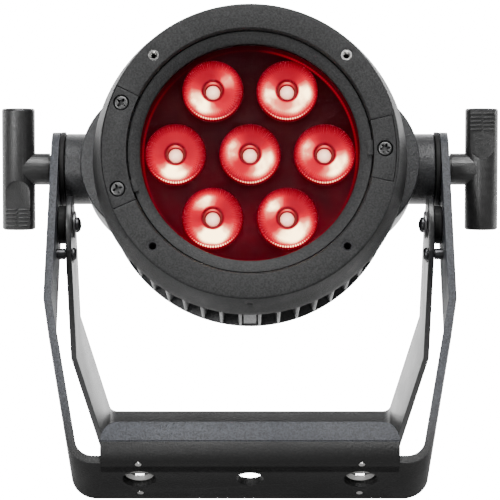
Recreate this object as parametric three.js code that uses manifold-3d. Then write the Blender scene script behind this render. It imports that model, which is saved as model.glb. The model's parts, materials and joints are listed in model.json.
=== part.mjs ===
// Compact LED par can light: a tilting die-cast head between the arms of an outer bracket,
// with an inner bracket that swings out behind it to make a floor stand.
// Millimetres, +Z up, the light shines towards -Y. The model stands on z = 0.

import * as THREE from 'three';
import { mergeVertices, toCreasedNormals } from 'three/addons/utils/BufferGeometryUtils.js';
import Module from 'manifold-3d';

const wasm = await Module();
wasm.setup();

// ---------------------------------------------------------------- driving dimensions

const GAP = 0.3; // clearance left between pieces that touch
const HEX = 6; // flats of a hexagon

// attitude of the three bodies, in degrees
const HEAD_TILT = 11.7; // the head looks up by this much
const OUTER_SWING = 36; // outer bracket, forwards from straight down

// outer bracket, measured from the tilt axis
const BAR_WIDTH = 38;
const OUTER_SHEET = 4;
const OUTER_HALF = 102; // half of the overall width at the tilt axis
const OUTER_BEND = 89.6; // distance down the arm to the inward bend
const OUTER_REACH = 180.3; // distance down to the outer face of the base
const OUTER_SLANT = 10.6; // slope of the lower arm, in degrees
const CORNER_RADIUS = 13; // outside radius of the bends
const FLANGE_HALF = 71; // half of the length of the stiffening flange
const FLANGE_FRONT = -24; // the flange stands in front of the arms' front edges
const FLANGE_HEIGHT = 19.5; // flange height above the base's outer face
const FLANGE_BEND = 5.4; // outside radius of the flange bend
const FLANGE_END = [8, 10]; // width and height of the flange's rounded ends
const HOLE_ROW = -2.2; // the row of base holes sits this far from the bar's middle
const CENTRE_HOLE = 6.5; // radius of the centre hole, for an M12 bolt
const LOCK_SPACING = 53; // quarter-turn receptacles, from the centre
const LOCK_HOLE = 8.15; // radius of a receptacle's hole
const RIVET_SPACING = 14.9; // rivets on each side of a receptacle
const RIVET_RADIUS = 1.6;
const RECEPTACLE_PLATE = 1;
const DISH_RADIUS = 7.6;
const DISH_DEPTH = 1.5;

// inner bracket, measured from its own pivot
const INNER_PIVOT = 34.3; // distance of the pivot down the outer arm
const INNER_SHEET = 3;
const INNER_HALF = 93.4;
const INNER_BEND = 71.6;
const INNER_REACH = 138.9;
const INNER_SLANT = 12.5;
const INNER_CORNER = 7;
const INNER_TIP = 14.6; // the arm's end is small enough to pass under the head's boss
const STOP_PIN = 51.9; // distance of the stop pin down the outer arm
const STOP_PILLAR = 2.8;
const STOP_NECK = 1.9;
const STOP_SHANK = 2.2;
const STOP_HEAD = 3.35;
const PIVOT_SHANK = 2.5;
const WASHER = 1.1;
const WASHER_RADIUS = 7;
const SPACER_RADIUS = 9.75;

// head, as distances along the optical axis in front of the tilt axis
const FRONT_FACE = 57;
const RING_OUTER = 74.5;
const RING_SEAM = 61;
const WINDOW = 54.8;
const RETAINER_SEAT = 51.9; // the ledge in the front ring that the retainer rests on
const BEZEL_REAR = 30;
const BEZEL_OUTER = 79.5;
const HOUSING_FRONT = 29;
const FIN_FRONT = 24.4;
const FIN_REAR = -43;
const FIN_TIP = 77.6;
const FIN_ROOT = 66;
const FIN_COUNT = 48;
const RIM_WIDTH = 3; // the rim that closes the fins at the rear
const RIB_HALF = 4; // half of the width of the rib along the bottom
const BACK_FACE = -58;
const REAR_RADIUS = 68;
const CUP_RADIUS = 40; // the side cheeks are parts of cylinders of this radius
const CUP_OFFSET = 46.6;
const BOSS_RADIUS = 18.3;
const BOSS_FACE = 95;
const EAR_REAR = -24;
const GLASS_REAR = 47.6;
const LENS_PITCH = 37.3;
const LENS_RADIUS = 15.4;
const LENS_FRONT = 46;
const PLATE_FRONT = 41;
const BOARD_FRONT = 17.4;

// plates let into the front ring, as angles clockwise from the top
const PLATE_DEPTH = 5;
const HINGE_PLATE = { inner: 61.6, outer: 73.6, from: 246.5, to: 296 };
const LATCH_PLATE = { inner: 61.6, outer: 72.6, from: 76, to: 102.5 };
const HINGE_SCREWS = [[68.4, 253.5], [68.4, 290.5]];
const LATCH_SCREWS = [[67.1, 89.25]];
const INSERT_ROW = 68;
const INSERT_ANGLES = [45, 135, 225, 315];

// rear cover, with places measured from the optical axis
const COVER_WALL = 3;
const PANEL_Z = 27; // the control panel sits above the middle of the cover
const SOCKET_Z = -22;
const BUTTON_X = [-24, -8, 8, 24];
const BUTTON_Z = 9;
const BUTTON_TRAVEL = 1;
const EYE_Z = 58;
const COVER_SCREWS = [40, 140, 220, 320];
const COVER_SCREW_ROW = 57;
const VENT = { x: 0, z: SOCKET_Z + 12 };
const SOCKETS = [
  { name: 'power_inlet', x: -36, z: SOCKET_Z, radius: 13.2, pins: 3 },
  { name: 'power_outlet', x: 36, z: SOCKET_Z, radius: 13.2, pins: 3 },
  { name: 'data_inlet', x: -12, z: SOCKET_Z - 14, radius: 10.8, pins: 5 },
  { name: 'data_outlet', x: 12, z: SOCKET_Z - 14, radius: 10.8, pins: 5 },
];

// T-handles
const GRIP_RADIUS = 8.55;
const GRIP_LENGTH = 63.2;
const GRIP_CENTRE = 120;
const STEM_RADIUS = 8.2;
const STUD_RADIUS = 4;
const HANDLE_EAR = OUTER_HALF + 0.5;
const RECESS_DEPTH = 2.8;
const RECESS_HALF = 6.3;
const RECESS_ARCH = 9; // the arch springs at this distance from the grip's middle

const deg = THREE.MathUtils.degToRad;

// ---------------------------------------------------------------- materials

function material(color, roughness, metalness) {
  return new THREE.MeshStandardMaterial({ color, roughness, metalness });
}

const POWDER_COAT = () => material(0x3d3e40, 0.62, 0.25);
const BRACKET_COAT = () => material(0x35373a, 0.55, 0.3);
const NYLON = () => material(0x2b2b2c, 0.5, 0.0);
const RUBBER = () => material(0x1b1b1c, 0.8, 0.0);
const STEEL = () => material(0xc9cacc, 0.25, 1.0);
const BLACK_STEEL = () => material(0x232427, 0.4, 0.7);
const CLEAR = () => material(0xd8dde0, 0.05, 0.0);
const LENS_RED = () => material(0xff4a58, 0.15, 0.0);
const REFLECTOR = () => material(0x4a0508, 0.45, 0.0);
const BOARD = () => material(0x1f5a38, 0.6, 0.0);
const DISPLAY = () => material(0x101418, 0.1, 0.0);

// ---------------------------------------------------------------- solids

// Turns a closed geometry into a solid, with its faces pointing out.
function solid(geometry) {
  const bare = geometry.clone();
  bare.deleteAttribute('normal');
  bare.deleteAttribute('uv');
  const merged = mergeVertices(bare, 1e-4);
  const triVerts = Uint32Array.from(merged.index.array);
  const vertProperties = Float32Array.from(merged.attributes.position.array);
  if (signedVolume(vertProperties, triVerts) < 0) {
    triVerts.reverse();
  }
  return new wasm.Manifold(new wasm.Mesh({ numProp: 3, vertProperties, triVerts }));
}

function signedVolume(points, triangles) {
  const corner = [new THREE.Vector3(), new THREE.Vector3(), new THREE.Vector3()];
  let volume = 0;
  for (let i = 0; i < triangles.length; i += 3) {
    corner.forEach((c, k) => c.fromArray(points, 3 * triangles[i + k]));
    volume += corner[0].dot(corner[1].cross(corner[2]));
  }
  return volume;
}

function geometryOf(body) {
  const mesh = body.getMesh();
  const geometry = new THREE.BufferGeometry();
  geometry.setAttribute('position', new THREE.BufferAttribute(Float32Array.from(mesh.vertProperties), 3));
  geometry.setIndex(new THREE.BufferAttribute(Uint32Array.from(mesh.triVerts), 1));
  return geometry;
}

function mesh(name, body, finish) {
  const geometry = toCreasedNormals(geometryOf(body), deg(30));
  const piece = new THREE.Mesh(geometry, finish());
  piece.name = name;
  return piece;
}

function join(...bodies) {
  return bodies.reduce((total, body) => total.add(body));
}

function cut(body, ...tools) {
  return tools.reduce((rest, tool) => rest.subtract(tool), body);
}

// How many flats a round surface of this radius is made of.
function flats(radius) {
  return 4 * Math.max(2, Math.round(Math.sqrt(radius)));
}

// Revolves closed [radius, along] points about the Y axis.
function revolved(points) {
  const profile = points.map(([radius, along]) => new THREE.Vector2(radius, along));
  const widest = Math.max(...points.map(([radius]) => radius));
  profile.push(profile[0].clone());
  return solid(new THREE.LatheGeometry(profile, flats(widest)));
}

// A ring about the Y axis.
function ring(outer, inner, from, to) {
  const [low, high] = [Math.min(from, to), Math.max(from, to)];
  return revolved([[inner, low], [outer, low], [outer, high], [inner, high]]);
}

// A cylinder or cone along x, y or z, between two places on that axis.
function rod(radius, from, to, axis, farRadius = radius, segments = flats(Math.max(radius, farRadius))) {
  const geometry = new THREE.CylinderGeometry(farRadius, radius, to - from, segments);
  geometry.translate(0, (from + to) / 2, 0);
  if (axis === 'x') {
    geometry.rotateZ(-Math.PI / 2);
  }
  if (axis === 'z') {
    geometry.rotateX(Math.PI / 2);
  }
  return solid(geometry);
}

function box(x0, x1, y0, y1, z0, z1) {
  const geometry = new THREE.BoxGeometry(x1 - x0, y1 - y0, z1 - z0);
  geometry.translate((x0 + x1) / 2, (y0 + y1) / 2, (z0 + z1) / 2);
  return solid(geometry);
}

function moved(body, x, y, z) {
  return body.translate([x, y, z]);
}

// Turned about the Y axis, by degrees.
function spun(body, angle) {
  return body.rotate([0, angle, 0]);
}

// Extrudes a shape drawn in X and Z along Y.
function slab(shape, y0, y1, curveSegments = 8) {
  const geometry = new THREE.ExtrudeGeometry(shape, { depth: y1 - y0, bevelEnabled: false, curveSegments });
  geometry.rotateX(Math.PI / 2);
  geometry.translate(0, y1, 0);
  return solid(geometry);
}

// Extrudes a shape drawn in Y and Z along X.
function cheek(shape, x0, x1, curveSegments = 12) {
  const geometry = new THREE.ExtrudeGeometry(shape, { depth: x1 - x0, bevelEnabled: false, curveSegments });
  geometry.rotateX(Math.PI / 2);
  geometry.rotateZ(Math.PI / 2);
  geometry.translate(x0, 0, 0);
  return solid(geometry);
}

function roundedRectangle(width, height, radius) {
  const [w, h] = [width / 2, height / 2];
  const shape = new THREE.Shape();
  shape.moveTo(-w + radius, -h);
  shape.lineTo(w - radius, -h);
  shape.absarc(w - radius, -h + radius, radius, -Math.PI / 2, 0);
  shape.lineTo(w, h - radius);
  shape.absarc(w - radius, h - radius, radius, 0, Math.PI / 2);
  shape.lineTo(-w + radius, h);
  shape.absarc(-w + radius, h - radius, radius, Math.PI / 2, Math.PI);
  shape.lineTo(-w, -h + radius);
  shape.absarc(-w + radius, -h + radius, radius, Math.PI, 1.5 * Math.PI);
  return shape;
}

// ---------------------------------------------------------------- bent brackets

// Moves a polyline sideways by a distance, keeping its corners sharp.
function offsetPath(points, distance) {
  const lines = points.slice(1).map((end, i) => {
    const along = end.clone().sub(points[i]).normalize();
    const across = new THREE.Vector2(-along.y, along.x).multiplyScalar(distance);
    return { from: points[i].clone().add(across), to: end.clone().add(across), along };
  });
  const corners = lines.slice(1).map((line, i) => {
    const before = lines[i];
    const gap = line.from.clone().sub(before.from);
    const reach = gap.cross(line.along) / before.along.cross(line.along);
    return before.from.clone().addScaledVector(before.along, reach);
  });
  return [lines[0].from, ...corners, lines[lines.length - 1].to];
}

// Rounds every corner of a polyline with an arc.
function roundedPath(points, radius, steps) {
  const path = [points[0].clone()];
  for (let i = 1; i < points.length - 1; i += 1) {
    const back = points[i - 1].clone().sub(points[i]).normalize();
    const on = points[i + 1].clone().sub(points[i]).normalize();
    const half = Math.acos(THREE.MathUtils.clamp(back.dot(on), -1, 1)) / 2;
    const centre = back.clone().add(on).normalize().multiplyScalar(radius / Math.sin(half)).add(points[i]);
    const first = points[i].clone().addScaledVector(back, radius / Math.tan(half)).sub(centre);
    const turn = (Math.PI - 2 * half) * Math.sign(on.cross(back));
    for (let k = 0; k <= steps; k += 1) {
      path.push(first.clone().rotateAround(new THREE.Vector2(), (turn * k) / steps).add(centre));
    }
  }
  path.push(points[points.length - 1].clone());
  return path;
}

// The half-width of a bracket's outer face where it meets its base.
function baseHalf(half, bend, reach, slant) {
  return half - (reach - bend) * Math.tan(deg(slant));
}

// The side view of an arm: straight edges up to the shoulders, then a round tip about the pivot.
function armOutline(reach, { radius, rear, front, from, to }) {
  const arm = new THREE.Shape();
  arm.moveTo(-BAR_WIDTH / 2, -reach - 1);
  arm.lineTo(BAR_WIDTH / 2, -reach - 1);
  arm.lineTo(BAR_WIDTH / 2, rear);
  arm.absarc(0, 0, radius, deg(from), deg(to));
  arm.lineTo(-BAR_WIDTH / 2, front);
  return arm;
}

// A U bent from flat bar, with its round-ended arms pivoting at the origin.
function bracket({ half, bend, reach, slant, sheet, corner, tip }) {
  const foot = baseHalf(half, bend, reach, slant);
  const top = BAR_WIDTH / 2;
  const outline = [[-half, top], [-half, -bend], [-foot, -reach], [foot, -reach], [half, -bend], [half, top]];
  const outer = outline.map(([x, z]) => new THREE.Vector2(x, z));
  const inner = offsetPath(outer, sheet);
  const outside = roundedPath(outer, corner, 6);
  const inside = roundedPath(inner, corner - sheet, 6);
  const strip = slab(new THREE.Shape([...outside, ...inside.reverse()]), -BAR_WIDTH / 2, BAR_WIDTH / 2);
  return strip.intersect(cheek(armOutline(reach, tip), -half - 1, half + 1, 8));
}

// The stiffening flange that is folded up from the front edge of the outer bracket's base.
function flange() {
  const base = -OUTER_REACH;
  const bendStart = FLANGE_FRONT + FLANGE_BEND;
  const overlap = 6;
  const fold = new THREE.Shape();
  fold.moveTo(bendStart + overlap, base);
  fold.lineTo(bendStart, base);
  fold.absarc(bendStart, base + FLANGE_BEND, FLANGE_BEND, -Math.PI / 2, -Math.PI, true);
  fold.lineTo(FLANGE_FRONT, base + FLANGE_HEIGHT);
  fold.lineTo(FLANGE_FRONT + OUTER_SHEET, base + FLANGE_HEIGHT);
  fold.lineTo(FLANGE_FRONT + OUTER_SHEET, base + FLANGE_BEND);
  fold.absarc(bendStart, base + FLANGE_BEND, FLANGE_BEND - OUTER_SHEET, -Math.PI, -Math.PI / 2, false);
  fold.lineTo(bendStart + overlap, base + OUTER_SHEET);
  const strip = cheek(fold, -FLANGE_HALF, FLANGE_HALF, 5);
  const lift = base + FLANGE_HEIGHT;
  const face = new THREE.Shape();
  face.moveTo(-FLANGE_HALF, base - 1);
  face.lineTo(FLANGE_HALF, base - 1);
  const [wide, tall] = FLANGE_END;
  face.lineTo(FLANGE_HALF, lift - tall);
  face.absellipse(FLANGE_HALF - wide, lift - tall, wide, tall, 0, Math.PI / 2);
  face.lineTo(-FLANGE_HALF + wide, lift);
  face.absellipse(-FLANGE_HALF + wide, lift - tall, wide, tall, Math.PI / 2, Math.PI);
  return strip.intersect(slab(face, FLANGE_FRONT - 1, BAR_WIDTH / 2, 6));
}

function outerBracket() {
  const bar = bracket({
    half: OUTER_HALF,
    bend: OUTER_BEND,
    reach: OUTER_REACH,
    slant: OUTER_SLANT,
    sheet: OUTER_SHEET,
    corner: CORNER_RADIUS,
    tip: { radius: BAR_WIDTH / 2, rear: 0, front: 0, from: 0, to: 180 },
  });
  const low = -OUTER_REACH - 1;
  const high = -OUTER_REACH + OUTER_SHEET + 1;
  const holes = [moved(rod(CENTRE_HOLE, low, high, 'z'), 0, HOLE_ROW, 0)];
  for (const side of [-1, 1]) {
    holes.push(moved(rod(LOCK_HOLE, low, high, 'z'), side * LOCK_SPACING, HOLE_ROW, 0));
    for (const way of [-1, 1]) {
      const rivet = rod(RIVET_RADIUS + GAP, low, high, 'z');
      holes.push(moved(rivet, side * LOCK_SPACING, HOLE_ROW + way * RIVET_SPACING, 0));
    }
    const [inside, outside] = armSpan(side, OUTER_HALF, OUTER_SHEET);
    holes.push(rod(STUD_RADIUS + 0.4, inside - 1, outside + 1, 'x'));
    holes.push(moved(rod(PIVOT_SHANK + GAP, inside - 1, outside + 1, 'x'), 0, 0, -INNER_PIVOT));
    holes.push(moved(rod(STOP_SHANK + GAP, inside - 1, outside + 1, 'x'), 0, 0, -STOP_PIN));
  }
  return cut(join(bar, flange()), ...holes);
}

// The lower and higher x of one arm's sheet.
function armSpan(side, half, sheet) {
  return side > 0 ? [half - sheet, half] : [-half, -half + sheet];
}

// A rod along x between two distances from the middle plane, on one side of it.
function sideRod(side, radius, near, far, farRadius = radius, segments = flats(Math.max(radius, farRadius))) {
  return side > 0
    ? rod(radius, near, far, 'x', farRadius, segments)
    : rod(farRadius, -far, -near, 'x', radius, segments);
}

// A quarter-turn receptacle riveted inside the base: a thin steel plate whose pressed dish sits
// in the hole, with a slot for the stud and a spring strap across it. Its rivets end flush.
function receptacle() {
  const seat = -OUTER_REACH + OUTER_SHEET + GAP;
  const top = seat + RECEPTACLE_PLATE;
  const plate = slabZ(roundedRectangle(21, 33, 2), seat, top, 3);
  const dish = rod(DISH_RADIUS, seat - DISH_DEPTH, seat + 0.5, 'z');
  const bowl = rod(DISH_RADIUS - 0.7, seat - DISH_DEPTH - 1, seat + 0.1, 'z', DISH_RADIUS - 2.4);
  const slot = box(-2.2, 2.2, -5.2, 5.2, seat - 1, top + 1);
  const strap = box(-6, 6, -1.1, 1.1, seat - 0.9, seat + 0.6);
  const rivets = [-1, 1].map((way) => {
    const rivet = join(
      rod(RIVET_RADIUS, -OUTER_REACH + 0.1, top, 'z'),
      rod(1.9, top - 0.2, top + 0.6, 'z'),
    );
    return moved(rivet, 0, way * RIVET_SPACING, 0);
  });
  return join(cut(join(plate, dish), bowl, slot), strap, ...rivets);
}

// Extrudes a shape drawn in X and Y along Z.
function slabZ(shape, z0, z1, curveSegments = 8) {
  const geometry = new THREE.ExtrudeGeometry(shape, { depth: z1 - z0, bevelEnabled: false, curveSegments });
  geometry.translate(0, 0, z0);
  return solid(geometry);
}

// The stop pin stands on the outer arm, passes through the inner arm's arc slot and ends in a head.
function stopPin(side) {
  const face = OUTER_HALF - OUTER_SHEET;
  const head = INNER_HALF - INNER_SHEET - GAP;
  return join(
    sideRod(side, STOP_SHANK, face - 1, OUTER_HALF - 0.4),
    sideRod(side, STOP_PILLAR, INNER_HALF + GAP, face - GAP),
    sideRod(side, STOP_NECK, head - 0.5, face - 1),
    sideRod(side, STOP_HEAD, head - 1, head),
    sideRod(side, STOP_HEAD - 1, head - 2.2, head - 1, STOP_HEAD),
  );
}

function pivotScrew(side) {
  const inner = INNER_HALF - INNER_SHEET;
  const washerFace = inner - GAP - WASHER - GAP;
  const shank = sideRod(side, PIVOT_SHANK, washerFace - 1, OUTER_HALF - 0.4);
  const rim = sideRod(side, 4, washerFace - 1, washerFace);
  const dome = sideRod(side, 2.2, washerFace - 2.6, washerFace - 1, 4);
  const socket = sideRod(side, 1.4, washerFace - 3, washerFace - 1.2, 1.4, HEX);
  return cut(join(shank, rim, dome), socket);
}

function pivotWasher(side) {
  const inner = INNER_HALF - INNER_SHEET;
  const body = sideRod(side, WASHER_RADIUS, inner - GAP - WASHER, inner - GAP);
  return cut(body, sideRod(side, PIVOT_SHANK + GAP, inner - 5, inner + 5));
}

function pivotSpacer(side) {
  const body = sideRod(side, SPACER_RADIUS, INNER_HALF + GAP, OUTER_HALF - OUTER_SHEET - GAP);
  return cut(body, sideRod(side, PIVOT_SHANK + GAP, INNER_HALF - 1, OUTER_HALF));
}

// The arc slot lets the stop pin run from the spread end to the folded end, straight down.
function arcSlot(travel) {
  const radius = STOP_PIN - INNER_PIVOT;
  const width = STOP_NECK + GAP;
  const folded = -Math.PI / 2;
  const spread = folded - travel;
  const shape = new THREE.Shape();
  shape.absarc(0, 0, radius + width, spread, folded, false);
  shape.absarc(0, -radius, width, folded, folded + Math.PI, false);
  shape.absarc(0, 0, radius - width, folded, spread, true);
  const [x, y] = [radius * Math.cos(spread), radius * Math.sin(spread)];
  shape.absarc(x, y, width, spread + Math.PI, spread + 2 * Math.PI);
  return shape;
}

function innerBracket(spread) {
  const bar = bracket({
    half: INNER_HALF,
    bend: INNER_BEND,
    reach: INNER_REACH,
    slant: INNER_SLANT,
    sheet: INNER_SHEET,
    corner: INNER_CORNER,
    tip: { radius: INNER_TIP, rear: -12, front: -3, from: 5, to: 160 },
  });
  const slot = cheek(arcSlot(spread), -INNER_HALF - 1, INNER_HALF + 1, 6);
  const bore = rod(PIVOT_SHANK + GAP, -INNER_HALF - 1, INNER_HALF + 1, 'x');
  return cut(bar, bore, slot);
}

// ---------------------------------------------------------------- T-handles and friction rings

function handle(side) {
  const reach = GRIP_LENGTH / 2;
  const grip = moved(rod(GRIP_RADIUS, 1 - reach, reach - 1, 'z'), side * GRIP_CENTRE, 0, 0);
  const ends = [-1, 1].map((way) => {
    const cap = way > 0
      ? rod(GRIP_RADIUS, reach - 1, reach, 'z', GRIP_RADIUS - 0.8)
      : rod(GRIP_RADIUS - 0.8, -reach, -reach + 1, 'z', GRIP_RADIUS);
    return moved(cap, side * GRIP_CENTRE, 0, 0);
  });
  const stem = sideRod(side, STEM_RADIUS, HANDLE_EAR + 1.4, GRIP_CENTRE);
  const neck = sideRod(side, STEM_RADIUS - 1.2, HANDLE_EAR, HANDLE_EAR + 1.4);
  const grown = GRIP_CENTRE - GRIP_RADIUS;
  const flare = sideRod(side, STEM_RADIUS, grown - 1.6, grown + 1, 9.6);
  const bore = sideRod(side, STUD_RADIUS + 0.3, HANDLE_EAR - 1, GRIP_CENTRE - 2);
  const body = cut(join(grip, ...ends, stem, neck, flare), bore);
  return cut(body, thumbRecess(side));
}

// A flat thumb recess in the grip's front, with an arched end near the middle. It is on the
// lower half of the left handle and, as the handles are alike, the upper half of the right one.
function thumbRecess(side) {
  const end = side * (GRIP_LENGTH / 2 + 1);
  const arch = side * RECESS_ARCH;
  const turn = side > 0 ? Math.PI : 0;
  const shape = new THREE.Shape();
  shape.moveTo(side * RECESS_HALF, end);
  shape.lineTo(-side * RECESS_HALF, end);
  shape.lineTo(-side * RECESS_HALF, arch);
  shape.absarc(0, arch, RECESS_HALF, turn, turn + Math.PI);
  return moved(slab(shape, -GRIP_RADIUS - 2, -GRIP_RADIUS + RECESS_DEPTH, 10), side * GRIP_CENTRE, 0, 0);
}

function clampStud(side) {
  return sideRod(side, STUD_RADIUS, BOSS_FACE - 22, GRIP_CENTRE - 3);
}

function frictionRing(side) {
  const body = sideRod(side, BOSS_RADIUS + 0.9, BOSS_FACE + GAP, OUTER_HALF - OUTER_SHEET - GAP);
  return cut(body, sideRod(side, STUD_RADIUS + 0.5, BOSS_FACE - 1, OUTER_HALF));
}

// ---------------------------------------------------------------- head

// Places on the head are given as distances in front of the tilt axis; the light looks along -Y.
const ahead = (distance) => -distance;

function along(points) {
  return points.map(([radius, distance]) => [radius, ahead(distance)]);
}

// An outline of the annular plates let into the front ring, between two angles from the top.
function ringSector(inner, outer, from, to) {
  const shape = new THREE.Shape();
  const [a, b] = [Math.PI / 2 - deg(from), Math.PI / 2 - deg(to)];
  shape.absarc(0, 0, outer, a, b, true);
  shape.absarc(0, 0, inner, b, a, false);
  return shape;
}

function onRing(body, row, angle) {
  const turn = deg(angle);
  return moved(body, row * Math.sin(turn), 0, row * Math.cos(turn));
}

function frontBezel() {
  const skirt = revolved(along([
    [RING_SEAM + GAP, RETAINER_SEAT], [RING_SEAM + GAP, FRONT_FACE], [RING_OUTER - 1, FRONT_FACE],
    [RING_OUTER, FRONT_FACE - 1], [RING_OUTER + 1.4, FRONT_FACE - 7], [BEZEL_OUTER - 0.8, BEZEL_REAR + 4],
    [BEZEL_OUTER, BEZEL_REAR + 2], [BEZEL_OUTER, BEZEL_REAR], [72, BEZEL_REAR], [66, 44], [55.5, 44],
    [55.5, GLASS_REAR - GAP], [58.1, GLASS_REAR - GAP], [58.1, RETAINER_SEAT],
  ]));
  const pockets = [HINGE_PLATE, LATCH_PLATE].map(({ inner, outer, from, to }) => {
    const wide = ringSector(inner - 0.6, outer + GAP, from - 0.3, to + 0.3);
    return slab(wide, ahead(FRONT_FACE + 1), ahead(FRONT_FACE - PLATE_DEPTH - GAP), 10);
  });
  const screws = [...HINGE_SCREWS, ...LATCH_SCREWS].map(([row, angle]) => {
    return onRing(rod(1.9, ahead(FRONT_FACE), ahead(44.5), 'y'), row, angle);
  });
  const threads = INSERT_ANGLES.map((angle) => {
    return onRing(rod(1.6, ahead(FRONT_FACE + 1), ahead(FRONT_FACE - 8), 'y'), INSERT_ROW, angle);
  });
  return cut(skirt, ...pockets, ...screws, ...threads);
}

function letInPlate({ inner, outer, from, to }, screws) {
  const outline = ringSector(inner, outer, from, to);
  const body = slab(outline, ahead(FRONT_FACE), ahead(FRONT_FACE - PLATE_DEPTH), 10);
  const tools = screws.flatMap(([row, angle]) => [
    onRing(rod(2.1, ahead(FRONT_FACE + 1), ahead(FRONT_FACE - PLATE_DEPTH - 1), 'y'), row, angle),
    onRing(rod(4, ahead(FRONT_FACE + 1), ahead(FRONT_FACE - 2.2), 'y'), row, angle),
  ]);
  return cut(body, ...tools);
}

// A countersunk machine screw with a cross recess, pointing into the head.
function crossScrew(face) {
  const head = rod(3.7, ahead(face - 0.4), ahead(face - 1.9), 'y');
  const shank = rod(1.7, ahead(face - 1.8), ahead(face - 10.5), 'y');
  const slots = [0, 90].map((angle) => {
    return spun(box(-2.1, 2.1, ahead(face + 1), ahead(face - 1.4), -0.45, 0.45), angle + 20);
  });
  return cut(join(head, shank), ...slots);
}

// The retainer lies sunk in the front ring and slopes in to the window.
function lensRetainer() {
  return revolved(along([
    [WINDOW, 50.6], [WINDOW, 51.7], [WINDOW + 0.7, 52.3], [RING_SEAM - 0.4, 54.3],
    [RING_SEAM, 54.1], [RING_SEAM, RETAINER_SEAT + GAP], [57.7, RETAINER_SEAT + GAP], [57.7, 50.6],
  ]));
}

// The side cheeks are parts of cylinders that run along the optical axis.
function ear(side, growth) {
  const lobe = rod(CUP_RADIUS + growth, ahead(FIN_FRONT), ahead(EAR_REAR), 'y');
  return moved(lobe, side * CUP_OFFSET, 0, 0);
}

// The finned body: a shell around the driver, with a wall in front of it that carries the board.
function housing() {
  const shell = revolved(along([
    [70.5, HOUSING_FRONT - GAP], [76.5, HOUSING_FRONT - GAP], [77, HOUSING_FRONT - 3],
    [72, HOUSING_FRONT - 5], [FIN_ROOT, HOUSING_FRONT - 9], [FIN_ROOT, FIN_REAR + RIM_WIDTH],
    [FIN_TIP, FIN_REAR + RIM_WIDTH], [FIN_TIP, FIN_REAR], [60, FIN_REAR], [60, 4], [0, 4], [0, 12],
    [61, 12], [61, 25], [70.5, 25],
  ]));
  const fins = [];
  for (let i = 0; i < FIN_COUNT; i += 1) {
    const angle = ((i + 0.5) * 360) / FIN_COUNT;
    const underEar = Math.abs(Math.sin(deg(angle))) > Math.sin(deg(62));
    if (!underEar) {
      fins.push(spun(box(-0.95, 0.95, ahead(FIN_FRONT), ahead(FIN_REAR), FIN_ROOT - 2, FIN_TIP), angle));
    }
  }
  fins.push(box(-RIB_HALF, RIB_HALF, ahead(FIN_FRONT - 6), ahead(FIN_REAR + 1), 1 - FIN_TIP, 1 - FIN_ROOT));
  const room = rod(FIN_ROOT - 3, ahead(HOUSING_FRONT + 1), ahead(-60), 'y');
  const ears = [-1, 1].map((side) => cut(ear(side, 0), room));
  const skirt = rod(BEZEL_OUTER, ahead(HOUSING_FRONT + 4), ahead(HOUSING_FRONT), 'y');
  const wires = moved(rod(4, ahead(20), ahead(0), 'y'), 0, 0, 49);
  const sockets = [-1, 1].map((side) => sideRod(side, STUD_RADIUS + 0.4, BOSS_FACE - 24, BOSS_FACE));
  return cut(join(shell, ...fins, ...ears), skirt, wires, ...sockets);
}

// A round boss saddled on a cheek. The clamp stud screws into it and the cheek behind.
function boss(side) {
  const body = sideRod(side, BOSS_RADIUS, CUP_OFFSET, BOSS_FACE);
  const thread = sideRod(side, STUD_RADIUS + 0.4, CUP_OFFSET, BOSS_FACE + 1);
  return cut(body, ear(side, GAP), thread);
}

function housingGasket() {
  return ring(70.2, 67.4, ahead(BEZEL_REAR - 0.6), ahead(HOUSING_FRONT - 3.4));
}

function lensCentres() {
  const centres = [[0, 0]];
  for (let i = 0; i < 6; i += 1) {
    const turn = deg(60 * i + 30);
    centres.push([LENS_PITCH * Math.sin(turn), LENS_PITCH * Math.cos(turn)]);
  }
  return centres;
}

function lensPlate() {
  const disc = rod(57, ahead(PLATE_FRONT), ahead(PLATE_FRONT - 2.5), 'y');
  const rim = ring(59.4, 57.4, ahead(44 - GAP), ahead(BOARD_FRONT + GAP));
  const web = ring(57.6, 54, ahead(PLATE_FRONT), ahead(PLATE_FRONT - 2.5));
  const holes = lensCentres().map(([x, z]) => {
    return moved(rod(LENS_RADIUS - 1.2, ahead(PLATE_FRONT + 1), ahead(PLATE_FRONT - 4), 'y'), x, 0, z);
  });
  return cut(join(disc, rim, web), ...holes);
}

// A moulded collimator: a cone from the emitter to a flanged round front with a dimple.
function collimator() {
  return revolved(along([
    [0, BOARD_FRONT + 5.5], [3.4, BOARD_FRONT + 4], [5.2, BOARD_FRONT + 2],
    [LENS_RADIUS - 1.8, PLATE_FRONT - 3], [LENS_RADIUS - 1.8, PLATE_FRONT + GAP],
    [LENS_RADIUS, PLATE_FRONT + GAP], [LENS_RADIUS, LENS_FRONT],
    [5, LENS_FRONT], [0, LENS_FRONT - 3.2],
  ]));
}

function ledBoard() {
  const disc = rod(57, ahead(14), ahead(12.3), 'y');
  const packages = lensCentres().flatMap(([x, z]) => [
    moved(box(-3.4, 3.4, ahead(15.2), ahead(13.9), -3.4, 3.4), x, 0, z),
    moved(rod(2.6, ahead(16.6), ahead(15), 'y'), x, 0, z),
  ]);
  return join(disc, ...packages);
}

// ---------------------------------------------------------------- rear cover and electronics

function rearCover() {
  const shell = revolved(along([
    [0, BACK_FACE], [REAR_RADIUS - 6, BACK_FACE], [REAR_RADIUS - 1.5, BACK_FACE + 2],
    [REAR_RADIUS, BACK_FACE + 6],
    [REAR_RADIUS, FIN_REAR - GAP - 1.5], [REAR_RADIUS - COVER_WALL, FIN_REAR - GAP - 1.5],
    [REAR_RADIUS - COVER_WALL, BACK_FACE + COVER_WALL], [0, BACK_FACE + COVER_WALL],
  ]));
  return cut(shell, ...rearOpenings());
}

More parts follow.
